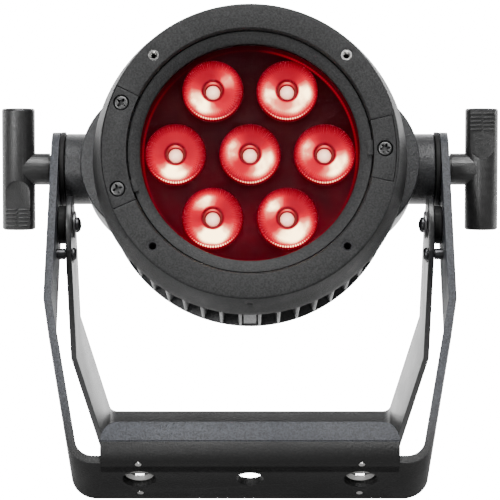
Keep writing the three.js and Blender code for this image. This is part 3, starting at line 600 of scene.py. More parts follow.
def lens_core():
    """The emitter's image in the middle of a collimator."""
    n = Nodes("lens_core")
    radius, _ = radius_and_turn(n)
    share = n.math("DIVIDE", radius, LENS_RADIUS * 0.28)
    colour = n.ramp(n.plus(share, n.times(n.noise(0.9), 0.25)), [
        (0.1, (4.0, 2.7, 1.9)), (0.8, (2.6, 1.15, 0.85)), (1, (0.9, 0.02, 0.03)),
    ])
    n.set("Base Color", (0.05, 0, 0.003))
    n.set("Roughness", 0.25)
    n.glow(colour)
    n.bump(n.noise(1.2), 0.1)
    return Finish(n.material, "lit_lens", centred=True)


PAINTED_EDGE_GLOW = [  # painted glow at the window's edge: how bright, anticlockwise from the left
    (0, 0.55), (0.1, 0.15), (0.2, 0.25), (0.3, 0.25), (0.4, 0.15), (0.5, 0.6), (0.6, 0.8), (0.68, 0.9),
    (0.74, 0.05), (0.87, 0.05), (0.93, 0.35), (1, 0.55),
]


def reflector():
    """The dark plate between the lenses, with painted red light falling on it low down, and a thin painted
    glow with painted sparkle at its edge.
    """
    n = Nodes("reflector")
    radius, turn = radius_and_turn(n)
    share = n.math("DIVIDE", radius, WINDOW)
    height = n.times(n.math("SINE", turn), share)
    # painted red light from the lenses, brightest low down and fading towards the top
    painted_red_light = n.ramp(n.plus(n.times(height, 0.5), 0.5), [
        (0, (0.17, 0, 0.006)), (0.3, (0.08, 0, 0.003)), (0.6, (0.04, 0, 0.001)), (1, (0.012, 0, 0)),
    ])
    around = n.plus(n.math("DIVIDE", turn, 2 * pi), 0.5)
    # painted glow along the window's edge, set around it by the table, broken by a painted sparkle
    edge = n.ramp(share, [(0.966, 0), (0.975, 1), (0.983, 1), (0.992, 0.1)])
    painted_sparkle = n.ramp(n.math("SINE", n.times(turn, 260)), [(0.2, 0.5), (0.9, 1)])
    edge = n.times(n.times(edge, n.ramp(around, PAINTED_EDGE_GLOW)), painted_sparkle)
    # random patches in the painted red light
    patches = n.ramp(n.noise(0.05, 2), [(0.35, 0.35), (0.65, 1)])
    n.set("Base Color", (0.006, 0, 0.001))
    n.set("Specular IOR Level", 0.08)
    n.set("Roughness", n.ramp(n.noise(1.5), [(0.3, 0.5), (0.7, 0.65)]))
    n.glow(n.mix(edge, n.mix(patches, (0.015, 0, 0.001), painted_red_light), (0.75, 0, 0.025)))
    n.bump(n.noise(1.5), 0.05)
    return Finish(n.material, "reflector", centred=True)


def clear_glass():
    n = Nodes("clear_glass")
    n.set("Base Color", (0.96, 0.98, 0.97))
    n.set("Transmission Weight", 1)
    n.set("IOR", 1.12)
    n.set("Roughness", n.ramp(n.noise(0.06, 3), [(0.4, 0), (0.8, 0.02)]))
    return Finish(n.material, "clear_glass")


def circuit_board():
    n = Nodes("circuit_board")
    tracks = n.ramp(n.noise(0.9, 0, (1, 1, 0.2)), [(0.49, (0.012, 0.1, 0.035)), (0.51, (0.03, 0.19, 0.07))])
    n.set("Base Color", tracks)
    n.set("Roughness", n.ramp(n.noise(0.8), [(0.3, 0.3), (0.7, 0.5)]))
    n.bump(n.noise(0.9, 0, (1, 1, 0.2)), 0.05)
    return Finish(n.material, "circuit_board")


CAST = powder_coat("cast_black", "cast_black", 0.0135, (1, 1.01, 1.03), 1.15, 0.26, 0.56, gloss=0.3)
CAST_DARK = powder_coat("cast_black_sides", "cast_black", 0.016, (0.97, 1, 1.08), roughness=0.4, gloss=0.5)
# The outer bracket's paint, with painted shade on its fold and base and low on its arms.
BRACKET = powder_coat("bracket_black", "bracket_black", 0.029, (0.9, 0.97, 1.16), 1, painted_shade_mask=painted_fold_shade_mask)
NYLON = moulded("nylon_black", "nylon_black", 0.009, 0.4, 1.6, 0.13, specular=0.6)
RUBBER = moulded("rubber_black", "rubber_black", 0.007, 0.65, specular=0.2)
SOCKET = moulded("socket_plastic", "socket_plastic", 0.01, 0.35)
BRIGHT = metal("bright_steel", "bright_steel", 0.78, (1, 0.99, 0.97), 0.24, (1, 1, 6))
# A darker, glossier copy of the bracket paint for the inner bracket: its lower tone is painted shade.
BRACKET_SHADED_COPY = powder_coat(
    "bracket_black_shaded_copy", "bracket_black", 0.012, (0.97, 1, 1.05), 0.9, 0.15, 0.36, gloss=0.65
)
BLACKENED = metal("black_steel", "black_steel", 0.07, (1, 1, 1.04), 0.36)
SCREW = metal("screw_steel", "black_steel", 0.11, (1, 1, 1), 0.4)
WASHER = metal("dull_steel", "bright_steel", 0.2, (1, 1, 1.02), 0.38)
DISPLAY = moulded("display", "display", 0.008, 0.12, 6.0, 0.004)
GLASS = clear_glass()
LENSES = [lit_lens(i, lobes) for i, lobes in enumerate(PAINTED_GLOW_LOBES, 1)]
CORE = lens_core()
REFLECTOR = reflector()
BOARD = circuit_board()


# ---- head, front

PLATE_DEPTH = 5
HINGE_PLATE = {"inner": 61.6, "outer": 73.6, "start": 246.5, "end": 296}
LATCH_PLATE = {"inner": 61.6, "outer": 72.6, "start": 76, "end": 102.5}
HINGE_SCREWS = [(68.4, 253.5), (68.4, 290.5)]
LATCH_SCREW = (67.1, 89.25)
INSERT_ROW = 68
DRAIN_PLACE = 49.5
INSERTS = {45: BRIGHT, 135: BLACKENED, 225: BLACKENED, 315: BRIGHT}


def sector(inner, outer, start, end):
    """An annular outline between two angles, clockwise from the top."""
    steps = max(6, round(abs(end - start) / 1.5))
    return arc((0, 0), outer, 90 - start, 90 - end, steps) + arc((0, 0), inner, 90 - end, 90 - start, steps)


def pocket(plate):
    outline = sector(plate["inner"] - 0.6, plate["outer"] + GAP, plate["start"] - 0.3, plate["end"] + 0.3)
    return prism(outline, -FRONT_FACE - 1, -FRONT_FACE + PLATE_DEPTH + GAP, "y")


def front_bezel():
    crown = arc((RING_OUTER - 1.2, FRONT_FACE - 1.2), 1.2, 90, 8, 5)
    heel = arc((BEZEL_OUTER - 1.6, BEZEL_REAR + 1.6), 1.6, 0, -90, 5)
    seam, ledge = RING_SEAM + GAP, GLASS_REAR - GAP
    body = lathe([
        (seam, RETAINER_SEAT), (seam, FRONT_FACE - 1.2), (seam + 0.9, FRONT_FACE), *crown,
        (RING_OUTER + 1.4, FRONT_FACE - 7), (BEZEL_OUTER - 0.8, BEZEL_REAR + 6), *heel, (72, BEZEL_REAR),
        (66, 44), (GLASS_LEDGE, 44), (GLASS_LEDGE, ledge), (GLASS_WELL, ledge), (GLASS_WELL, RETAINER_SEAT),
    ])
    wells = [rod(1.9, -FRONT_FACE, -44.5, "y", on_ring(*spot)) for spot in (*HINGE_SCREWS, LATCH_SCREW)]
    inserts = [rod(2.75, -FRONT_FACE - 1, -FRONT_FACE + 8, "y", on_ring(INSERT_ROW, a)) for a in INSERTS]
    drain = prism(rounded(3.0, 1.3, 0.6, (0, -DRAIN_PLACE)), -RING_OUTER - 8, -RING_OUTER - 1.2, "z")
    cut(body, pocket(HINGE_PLATE), pocket(LATCH_PLATE), *wells, *inserts, drain)
    on_head(soften(body, 0.35), "bezel_casting", CAST, ["front_bezel"])


def threaded_insert(angle, finish):
    """A pressed insert with its thread showing inside."""
    wall = [(2.65, FRONT_FACE - 0.15), (2.65, FRONT_FACE - 6)]
    thread = [(1.5 if i % 2 else 1.85, FRONT_FACE - 6 + i * 0.45) for i in range(1, 12)]
    body = lathe([(1.5, FRONT_FACE - 6), *thread, (1.95, FRONT_FACE - 0.15), *wall], 32)
    x, z = on_ring(INSERT_ROW, angle)
    on_head(body, f"threaded_insert_{angle}", finish, at=(x, 0, z))


def let_in_plate(name, plate, screws, node):
    face = -FRONT_FACE
    outline = sector(plate["inner"], plate["outer"], plate["start"], plate["end"])
    body = prism(outline, face, face + PLATE_DEPTH, "y")
    for spot in screws:
        cut(body, rod(2.1, face - 1, face + PLATE_DEPTH + 1, "y", on_ring(*spot)))
        cut(body, rod(4, face - 1, face + 2.2, "y", on_ring(*spot)))
    on_head(soften(body, 0.5, 3), name, CAST, [node])


def cross_screw(name, spot, turn, lobes=4):
    """A pan-head screw with a cross or star recess."""
    face = FRONT_FACE - 0.4
    x, z = on_ring(*spot)
    head = [(0, face), (1.6, face), *arc((2.7, face - 1), 1, 88, 0, 5), (3.7, face - 1.5)]
    body = lathe([*head, (1.75, face - 1.5), (1.75, face - 10), (0, face - 10)], 40)
    for i in range(lobes // 2):
        angle = radians(turn + 360 / lobes * i)
        along = Vector((cos(angle), sin(angle)))
        across = Vector((-sin(angle), cos(angle)))
        ends = [along * x + across * y for x, y in ((2.5, 0.4), (0.8, 0.8), (-0.8, 0.8), (-2.5, 0.4))]
        outline = [tuple(p) for p in ends] + [tuple(-p) for p in ends]
        cut(body, prism(outline, -face - 1, -face + 2.8, "y"))
    on_head(soften(body, 0.12), f"{name}_head", SCREW, [name], at=(x, 0, z))


def lens_retainer():
    """The ring that holds the glass, with two low tabs."""
    edge, seat, skirt = RING_SEAM - 0.1, RETAINER_SEAT + GAP, 57.7
    body = lathe([
        (WINDOW, RETAINER_BACK), (WINDOW, 51.7), (WINDOW + 0.7, 52.3), (RING_SEAM - 0.4, RETAINER_FACE),
        (edge, RETAINER_FACE - 0.3), (edge, seat), (skirt, seat), (skirt, RETAINER_BACK),
    ], 200)
    for start, end in ((85, 92), (250, 256)):
        tab = prism(sector(RING_SEAM - 2.4, RING_SEAM + 0.2, start, end), -RETAINER_FACE - 1.1, -53.3, "y")
        join(body, tab)
    on_head(soften(body, 0.3), "retaining_ring", CAST, ["lens_retainer"])


def front_glass():
    body = lathe([(0, 50.3), (56.5, 50.3), (57, 49.8), (57, 48.1), (56.5, GLASS_REAR), (0, GLASS_REAR)], 200)
    on_head(body, "front_pane", GLASS, ["front_glass"])


def lens_centres():
    return [(0, 0)] + [on_ring(LENS_PITCH, 60 * i + 30) for i in range(6)]


def collimator(index, centre):
    """A moulded lens with a finely ribbed rim and a deep eye."""
    at = (centre[0], 0, centre[1])
    neck, seat = LENS_RADIUS - 1.8, PLATE_FRONT + GAP
    body = lathe([
        (EYE_RADIUS, PLATE_FRONT - 0.6), (4.5, LENS_FRONT - 1.2), (5.0, LENS_FRONT - 0.5),
        (5.6, LENS_FRONT - 0.7), (8.5, LENS_FRONT - 0.9), (LENS_RADIUS - 1.6, LENS_FRONT - 0.2),
        (LENS_RADIUS - 0.7, LENS_FRONT - 0.1), (LENS_RADIUS - 0.15, LENS_FRONT - 0.8),
        (LENS_RADIUS, LENS_FRONT - 2), (LENS_RADIUS, seat), (neck, seat), (neck, PLATE_FRONT - 3),
        (5.2, 19.4), (0, 21.4), (0, PLATE_FRONT - 2), (EYE_RADIUS, PLATE_FRONT - 2),
    ], 180)
    on_head(body, f"lens_{index}", LENSES[index - 1], [f"led_lens_{index}"], at)
    core = lathe([
        (0, PLATE_FRONT - 0.3), (2.0, PLATE_FRONT - 0.4), (3.1, PLATE_FRONT - 0.9), (3.6, PLATE_FRONT - 1.9),
        (0, PLATE_FRONT - 1.9),
    ], 64)
    on_head(core, f"lens_eye_{index}", CORE, at=at)


def reflector_plate():
    """The plate between the lenses, on a deep rim that reaches back to the emitter board."""
    edge, rim, top, foot = REFLECTOR_RADIUS, REFLECTOR_RADIUS + 2.4, 43.7, 17.7
    body = prism(circle(edge, steps=200), -PLATE_FRONT, -PLATE_FRONT + 2.5, "y")
    rim = lathe([(rim, top), (edge + 0.4, top), (edge, PLATE_FRONT - 1), (edge, foot), (rim, foot)], 200)
    join(body, rim)
    cut(body, *[rod(LENS_RADIUS - 1.2, -PLATE_FRONT - 1, -PLATE_FRONT + 4, "y", c) for c in lens_centres()])
    on_head(soften(body, 0.25), "reflector_plate", REFLECTOR, ["lens_plate"])


# ---- head, heat sink


def fin_outline(angle):
    """A cooling fin's cross-section, thin at its round tip."""
    half, tip = 1.05, 0.85
    points = [(-half, FIN_ROOT - 2), (half, FIN_ROOT - 2)] + arc((0, FIN_TIP - tip), tip, 0, 180, 6)
    turn = radians(angle)
    return [(x * cos(turn) + z * sin(turn), z * cos(turn) - x * sin(turn)) for x, z in points]


def heat_sink():
    """The finned drum, with a rim behind the fins, an ear and a boss at each side, and a rib below."""
    flange, front, rim = 70.5, HOUSING_FRONT - GAP, FIN_REAR + FIN_RIM
    body = lathe([
        (flange, front), (76.5, front), (77, HOUSING_FRONT - 3), (72, HOUSING_FRONT - 5),
        (FIN_ROOT + 1, HOUSING_FRONT - 8), (FIN_ROOT, HOUSING_FRONT - 11), (FIN_ROOT, rim + 1),
        (FIN_ROOT + 1, rim), (FIN_TIP, rim), (FIN_TIP, FIN_REAR), (60, FIN_REAR), (60, 4), (0, 4), (0, 12),
        (61, 12), (61, 25), (flange, 25),
    ])
    fins = []
    for i in range(FIN_COUNT):
        angle = (i + 0.5) * 360 / FIN_COUNT
        if abs(sin(radians(angle))) <= sin(radians(BARE_SIDE)):
            fins.append(prism(fin_outline(angle), -FIN_FRONT, -FIN_REAR, "y"))
    drum = FIN_ROOT - 3
    ears = [soften(rod(CUP_RADIUS, -FIN_FRONT, 24, "y", (s * CUP_OFFSET, 0), 120), 1.2, 3) for s in SIDES]
    ears = [cut(ear, rod(drum, -40, 60, "y", steps=STEPS)) for ear in ears]
    ears += [soften(side_rod(side, BOSS_RADIUS, FIN_ROOT - 2, BOSS_FACE), 0.8, 3) for side in SIDES]
    root, tip = 1 - FIN_ROOT, 1 - FIN_TIP
    rib = prism([(-4, root), (4, root), (3.3, tip), (-3.3, tip)], -FIN_FRONT + 6, -FIN_REAR - 1, "y")
    join(body, *fins, rib, *ears)
    threads = [side_rod(side, STUD_RADIUS + 0.4, BOSS_FACE - 24, BOSS_FACE + 1) for side in SIDES]
    cut(body, *threads, rod(4, -20, 0, "y", (0, 49)))
    soften(body, 0.3)
    nodes = ["heat_sink_housing", "tilt_boss_left", "tilt_boss_right"]
    on_head(body, "heat_sink", CAST_DARK, nodes)


def friction_ring(side):
    inner, outer = BOSS_FACE + GAP, OUTER_HALF - OUTER_SHEET - GAP
    word = SIDES[side]
    body = side_rod(side, BOSS_RADIUS + 0.9, inner, outer)
    cut(body, side_rod(side, STUD_RADIUS + 0.5, inner - 1, outer + 1))
    on_head(soften(body, 0.5, 3), f"friction_washer_{word}", RUBBER, [f"friction_ring_{word}"])


# ---- head, rear

PANE = (46, 18)
PANEL_Z = 27
SOCKET_Z = -22
BUTTON_Z = 9
BUTTONS = {"menu": 24, "down": 8, "up": -8, "enter": -24}
SOCKETS = {
    "power_inlet": (-36, SOCKET_Z, 13.2, 3),
    "power_outlet": (36, SOCKET_Z, 13.2, 3),
    "data_inlet": (-12, SOCKET_Z - 14, 10.8, 5),
    "data_outlet": (12, SOCKET_Z - 14, 10.8, 5),
}
VENT_Z = SOCKET_Z + 12
EYE_Z = 58
COVER_SCREWS = [40, 140, 220, 320]
COVER_SCREW_ROW = 57
SEAT = BACK_FACE - GAP


def through_cover(outline):
    return prism(outline, -BACK_FACE - COVER_WALL - 1, -BACK_FACE + 1, "y")


def rear_cover():
    inner = REAR_RADIUS - COVER_WALL
    edge = arc((REAR_RADIUS - 6, BACK_FACE + 6), 6, 0, -90, 8)
    wall = FIN_REAR - GAP - 1.5
    body = lathe([
        (0, BACK_FACE), *reversed(edge), (REAR_RADIUS, wall), (inner, wall), (inner, BACK_FACE + COVER_WALL),
        (0, BACK_FACE + COVER_WALL),
    ])
    holes = [through_cover(rounded(PANE[0] + 0.6, PANE[1] + 0.6, 2.3, (0, PANEL_Z)))]
    holes += [through_cover(circle(4.1, (x, BUTTON_Z))) for x in BUTTONS.values()]
    holes += [through_cover(circle(radius - 1.7, (x, z))) for x, z, radius, _ in SOCKETS.values()]
    holes += [through_cover(circle(4.3, (0, VENT_Z)))]
    holes += [through_cover(circle(1.9, on_ring(COVER_SCREW_ROW, angle))) for angle in COVER_SCREWS]
    cut(body, *holes)
    on_head(soften(body, 0.35), "rear_shell", CAST, ["rear_cover"])


def panel_socket(name, x, z, radius, pins):
    lip = arc((radius - 0.8, SEAT - 1.6), 0.8, 0, -90, 4)
    collar = radius - 1.2
    body = lathe([
        (0, SEAT + 7), (radius - 3.6, SEAT + 7), (radius - 3.6, SEAT - 5.4), (radius - 3.2, SEAT - 6),
        (collar - 0.5, SEAT - 6), (collar, SEAT - 5.5), (collar, SEAT - 2.4), *reversed(lip), (radius, SEAT),
        (radius - 2, SEAT), (radius - 2, SEAT + 12), (0, SEAT + 12),
    ], 72)
    key = prism([(-1.2, collar - 3.4), (1.2, collar - 3.4), (1.2, collar - 1.8), (-1.2, collar - 1.8)],
                -SEAT - 8, -SEAT + 5, "y")
    join(body, key)
    on_head(soften(body, 0.15), f"{name}_shell", SOCKET, [name], at=(x, 0, z))
    reach = (radius - 3.6) * 0.52
    for i in range(pins):
        turn = 2 * pi * i / pins + pi / 2
        tip = [(1.1, SEAT + 2.1), (0.6, SEAT + 1.5), (0, SEAT + 1.4)]
        pin = lathe([(0, SEAT + 7.5), (1.1, SEAT + 7.5), *tip], 24)
        spot = (x + reach * cos(turn), 0, z + reach * sin(turn))
        on_head(pin, f"{name}_contact_{i + 1}", BRIGHT, at=spot)


def push_button(word, x):
    top = BACK_FACE - 2.5
    flange = BACK_FACE + COVER_WALL
    body = lathe([
        (0, top + 0.35), (1.6, top + 0.2), (2.6, top), (3.3, top + 0.3), (3.7, top + 1.1),
        (3.7, flange - 0.6), (3.5, flange - 0.5), (3.5, flange + GAP), (4.8, flange + GAP),
        (4.8, flange + 1.6), (0, flange + 1.6),
    ], 48)
    place(body, f"key_cap_{word}", f"key_{word}", HEAD, RUBBER, [f"button_{word}"], at=(x, 0, BUTTON_Z))


def display_pane():
    body = prism(rounded(*PANE, 2, (0, PANEL_Z)), -BACK_FACE - 1.2, -BACK_FACE + 0.5, "y")
    on_head(soften(body, 0.3, 3), "display_pane", DISPLAY, ["display_window"])


def vent_plug():
    head = prism(circle(6.4, steps=6), -SEAT, -SEAT + 3, "y")
    join(head, rod(3.9, -SEAT - 5, -SEAT + 1, "y"))
    spots = [(2.6 * sin(t), 2.6 * cos(t)) for t in (0, 2 * pi / 3, 4 * pi / 3)]
    cut(head, *[rod(0.8, -SEAT + 1.6, -SEAT + 4, "y", spot) for spot in spots])
    on_head(soften(head, 0.3, 3), "vent_cap", NYLON, ["vent_plug"], at=(0, 0, VENT_Z))


def safety_eye():
    middle = -SEAT + 8
    outline = [(-SEAT, -9), *arc((middle, 0), 9, -90, 90, 24), (-SEAT, 9)]
    body = prism(outline, -2.5, 2.5, "x")
    cut(body, rod(5.2, -4, 4, "x", (middle, 0), 48))
    on_head(soften(body, 0.7, 3), "safety_loop", BLACKENED, ["safety_eye"], at=(0, 0, EYE_Z))


def cover_screw(index, angle):
    x, z = on_ring(COVER_SCREW_ROW, angle)
    crown = arc((2.4, SEAT - 1.4), 0.8, 0, -90, 4)
    body = lathe([
        (0, SEAT + 9), (1.6, SEAT + 9), (1.6, SEAT), (3.2, SEAT), *crown, (0, SEAT - 2.2),
    ], 48)
    cut(body, prism(circle(1.5, steps=6), -SEAT + 1, -SEAT + 3, "y"))
    on_head(soften(body, 0.12), f"cap_screw_{index}", BLACKENED, [f"cover_screw_{index}"], at=(x, 0, z))


def head():
    front_bezel()
    for angle, finish in INSERTS.items():
        threaded_insert(angle, finish)
    let_in_plate("hinge_cover", HINGE_PLATE, HINGE_SCREWS, "clamp_plate")
    let_in_plate("latch_cover", LATCH_PLATE, [LATCH_SCREW], "latch_plate")
    cross_screw("clamp_screw_lower", HINGE_SCREWS[0], 20)
    cross_screw("clamp_screw_upper", HINGE_SCREWS[1], 50)
    cross_screw("latch_screw", LATCH_SCREW, 10, 6)
    lens_retainer()
    front_glass()
    reflector_plate()
    for index, centre in enumerate(lens_centres(), 1):
        collimator(index, centre)
    heat_sink()
    for side in SIDES:
        friction_ring(side)
    rear_cover()
    for name, (x, z, radius, pins) in SOCKETS.items():
        panel_socket(name, x, z, radius, pins)
    for word, x in BUTTONS.items():
        push_button(word, x)
    display_pane()
    vent_plug()
    safety_eye()
    for index, angle in enumerate(COVER_SCREWS, 1):
        cover_screw(index, angle)


# ---- bent brackets


def moved_sideways(points, distance):
    """A polyline moved to its left by a distance, with its corners kept sharp."""
    lines = []
    for start, end in zip(points, points[1:]):
        along = (end - start).normalized()
        across = Vector((-along.y, along.x)) * distance
        lines.append((start + across, end + across, along))
    moved = [lines[0][0]]
    for (a, _, d), (b, _, e) in zip(lines, lines[1:]):
        gap = b - a
        moved.append(a + d * ((gap.x * e.y - gap.y * e.x) / (d.x * e.y - d.y * e.x)))
    return moved + [lines[-1][1]]


def with_round_corners(points, radius, steps=14):
    path = [points[0].copy()]
    for before, corner, after in zip(points, points[1:], points[2:]):
        back, on = (before - corner).normalized(), (after - corner).normalized()
        half = back.angle(on) / 2
        centre = corner + (back + on).normalized() * radius / sin(half)
        first = corner + back * radius / tan(half) - centre
        turn = (pi - 2 * half) * copysign(1, on.x * back.y - on.y * back.x)
        for k in range(steps + 1):
            arm = first.copy()
            arm.rotate(Matrix.Rotation(turn * k / steps, 2))
            path.append(centre + arm)
    return path + [points[-1].copy()]


def bent_bar(half, bend, reach, slant, sheet, corner, tip, rear=0, front=0, start=0, end=180):
    """A U bent from flat bar. Its arms end round about the pivot, below that between rear and front."""
    foot = half - (reach - bend) * tan(radians(slant))
    top = BAR_WIDTH / 2
    corners = [(-half, top), (-half, -bend), (-foot, -reach), (foot, -reach), (half, -bend), (half, top)]
    outer = [Vector(p) for p in corners]
    outside = with_round_corners(outer, corner)
    inside = with_round_corners(moved_sideways(outer, sheet), corner - sheet)
    strip = prism([tuple(p) for p in outside + inside[::-1]], -top, top, "y")
    base, end_arc = -reach - 1, arc((0, 0), tip, start, end, 48)
    side = [(-top, base), (top, base), (top, rear), *end_arc, (-top, front)]
    return meet(strip, prism(side, -half - 1, half + 1, "x"))


def flange():
    """The stiffening lip folded up from the front edge of the outer bracket's base."""
    base = -OUTER_REACH
    fold_start = FLANGE_FRONT + FOLD_RADIUS
    lift = base + FLANGE_HEIGHT
    fold = [
        (fold_start + 6, base), *arc((fold_start, base + FOLD_RADIUS), FOLD_RADIUS, -90, -180, 16),
        (FLANGE_FRONT, lift), (FLANGE_FRONT + OUTER_SHEET, lift),
        *arc((fold_start, base + FOLD_RADIUS), FOLD_RADIUS - OUTER_SHEET, -180, -90, 8),
        (fold_start + 6, base + OUTER_SHEET),
    ]
    wide, tall = FLANGE_END
    quarter = [pi / 2 * i / 10 for i in range(11)]
    curve = [(FLANGE_HALF - wide + wide * cos(t), lift - tall + tall * sin(t)) for t in quarter]
    face = [(-FLANGE_HALF, base - 1), (FLANGE_HALF, base - 1), *curve, *[(-x, z) for x, z in curve[::-1]]]
    strip = prism(fold, -FLANGE_HALF, FLANGE_HALF, "x")
    return meet(strip, prism(face, FLANGE_FRONT - 1, BAR_WIDTH / 2, "y"))


def outer_bracket():
    body = bent_bar(
        OUTER_HALF, OUTER_BEND, OUTER_REACH, OUTER_SLANT, OUTER_SHEET, CORNER_RADIUS, BAR_WIDTH / 2
    )
    base = -OUTER_REACH
    fold = (-BAR_WIDTH / 2 - 1, FLANGE_FRONT + FOLD_RADIUS)
    cut(body, block((-FLANGE_HALF, FLANGE_HALF), fold, (base - 1, base + OUTER_SHEET + 1)))
    join(body, flange())
    for height in GROOVES:
        groove = (base + height - 0.4, base + height + 0.4)
        cut(body, block((-FLANGE_HALF - 1, FLANGE_HALF + 1), (FLANGE_FRONT - 1, FLANGE_FRONT + 0.45), groove))
    low, high = base - 1, base + OUTER_SHEET + 1
    holes = [rod(CENTRE_HOLE, low, high, "z", (0, HOLE_ROW), 64)]
    for side in SIDES:
        holes.append(rod(LOCK_HOLE, low, high, "z", (side * LOCK_SPACING, HOLE_ROW), 72))
        for way in (-1, 1):
            spot = (side * LOCK_SPACING, HOLE_ROW + way * RIVET_SPACING)
            holes.append(rod(RIVET_RADIUS + GAP, low, high, "z", spot, 32))
        near, far = OUTER_HALF - OUTER_SHEET - 1, OUTER_HALF + 1
        holes.append(side_rod(side, STUD_RADIUS + 0.4, near, far))
        holes.append(side_rod(side, PIVOT_SHANK + GAP, near, far, (0, -INNER_PIVOT)))
        holes.append(side_rod(side, STOP_SHANK + GAP, near, far, (0, -STOP_PIN)))
    cut(body, *holes)
    on_bracket(soften(body, 0.55, 3), "outer_bar", BRACKET, ["outer_yoke"])


def inner_bracket():
    body = bent_bar(
        INNER_HALF, INNER_BEND, INNER_REACH, INNER_SLANT, INNER_SHEET, INNER_CORNER, INNER_TIP,
        rear=-12, front=-3, start=5, end=160,
    )
    radius, width = STOP_PIN - INNER_PIVOT, STOP_NECK + GAP
    folded = -90
    spread = folded - degrees(inner_swing()) + OUTER_SWING
    turn = radians(spread)
    slot = [
        *arc((0, 0), radius + width, spread, folded, 24),
        *arc((0, -radius), width, folded, folded + 180, 12)[1:],
        *arc((0, 0), radius - width, folded, spread, 24)[1:],
        *arc((radius * cos(turn), radius * sin(turn)), width, spread + 180, spread + 360, 12)[1:-1],
    ]
    cut(body, rod(PIVOT_SHANK + GAP, -INNER_HALF - 1, INNER_HALF + 1, "x"))
    cut(body, prism(slot, -INNER_HALF - 1, INNER_HALF + 1, "x"))
    soften(body, 0.5, 3)
    place(body, "inner_bar", "inner_bracket", INNER, BRACKET_SHADED_COPY, ["inner_yoke"])


def receptacle(side):
    """A riveted quarter-turn receptacle with a dished slot and a wire strap."""
    word = SIDES[side]
    seat = -OUTER_REACH + OUTER_SHEET + GAP
    body = prism(rounded(21, 33, 2), seat, seat + 1, "z")
    join(body, rod(DISH_RADIUS, seat - DISH_DEPTH, seat + 0.5, "z", steps=72))
    low = DISH_DEPTH - seat
    bowl = lathe([(0, low + 1), (6.9, low + 1), (6.9, low), (5.2, -0.1 - seat), (0, -0.1 - seat)], 72)
    bowl.data.transform(Matrix.Rotation(radians(90), 4, "X"))
    cut(body, bowl, block((-2.2, 2.2), (-5.2, 5.2), (seat - 1, seat + 2)))
    join(body, block((-6, 6), (-1.1, 1.1), (seat - 0.9, seat + 0.6)))
    soften(body, 0.2)
    at = (side * LOCK_SPACING, HOLE_ROW, 0)
    for end, way in (("front", -1), ("rear", 1)):
        spot = (0, way * RIVET_SPACING)
        rivet = rod(RIVET_RADIUS, -OUTER_REACH, seat + 1.2, "z", spot, 40)
        join(rivet, rod(1.3, seat + 0.8, seat + 1.7, "z", spot, 32))
        soften(rivet, 0.45, 3)
        on_bracket(rivet, f"rivet_{word}_{end}", BRIGHT, at=at)
    on_bracket(body, f"quarter_turn_{word}", BRIGHT, [f"lock_receptacle_{word}"], at)


def turned(side, points, steps=48):
    """A lathed piece along X. Points are [radius, distance from the middle plane]."""
    body = lathe([(radius, -distance) for radius, distance in points], steps)
    body.data.transform(Matrix.Rotation(radians(-90 * side), 4, "Z"))
    return body


def pivot_hardware(side):
    word = SIDES[side]
    wall = INNER_HALF - INNER_SHEET
    face = wall - 2 * GAP - 1.1
    at = (0, 0, -INNER_PIVOT)
    dome = [(4 * cos(t), face - 0.8 - 1.7 * sin(t)) for t in (0, 0.3, 0.6, 0.9, 1.15)]
    screw = turned(side, [
        (0, OUTER_HALF - 0.4), (PIVOT_SHANK, OUTER_HALF - 0.4), (PIVOT_SHANK, face), (4, face), *dome,
        (1.4, face - 2.5), (1.4, face - 1.2), (0, face - 1.2),
    ])
    on_bracket(screw, f"button_head_{word}", BLACKENED, [f"pivot_screw_{word}"], at)
    inner = PIVOT_SHANK + GAP
    washer = turned(side, [
        (inner, wall - GAP), (6.8, wall - GAP), (7, wall - GAP - 0.25), (7, wall - GAP - 0.85),
        (6.8, wall - GAP - 1.1), (inner, wall - GAP - 1.1),
    ])
    on_bracket(washer, f"steel_washer_{word}", WASHER, [f"pivot_washer_{word}"], at)
    near, far = INNER_HALF + GAP, OUTER_HALF - OUTER_SHEET - GAP
    spacer = turned(side, [
        (inner, near), (9.35, near), (9.75, near + 0.4), (9.75, far - 0.4), (9.35, far), (inner, far),
    ], 72)
    on_bracket(spacer, f"nylon_spacer_{word}", RUBBER, [f"pivot_spacer_{word}"], at)
    head = wall - GAP
    face = OUTER_HALF - OUTER_SHEET
    pin = turned(side, [
        (0, OUTER_HALF - 0.4), (STOP_SHANK, OUTER_HALF - 0.4), (STOP_SHANK, face - 0.8), (2.8, face - GAP),
        (2.8, near + 0.2), (2.6, near), (STOP_NECK, near), (STOP_NECK, head), (3.1, head), (3.35, head - 0.3),
        (3.35, head - 0.9), (2.9, head - 1.7), (2.35, head - 2.2), (0, head - 2.2),
    ])
    on_bracket(pin, f"stop_stud_{word}", BLACKENED, [f"stop_pin_{word}"], (0, 0, -STOP_PIN))


# ---- T-handles


def grip_recess(side):
    """The thumb recess, with its arch towards the middle of the grip."""
    arch = arc((0, -12), RECESS_HALF, 0, 180, 24)
    outline = [(-RECESS_HALF, -GRIP_LENGTH / 2 - 1), (RECESS_HALF, -GRIP_LENGTH / 2 - 1), *arch]
    outline = [(-side * x, -side * z) for x, z in outline]
    return prism(outline, -GRIP_RADIUS - 2, -GRIP_RADIUS + RECESS_DEPTH, "y")


def grip_ridges(side):
    """Two columns of five ridges on the recess floor."""
    floor = -GRIP_RADIUS + RECESS_DEPTH
    ridges = []
    for column in (-3.35, 3.35):
        for row in range(5):
            z = side * (GRIP_LENGTH / 2 - 2.7 - 2.05 * row)
            outline = rounded(5.7, 1.05, 0.45, (column, z))
            ridges.append(prism(outline, floor - 0.9, floor + 0.8, "y"))
    return ridges


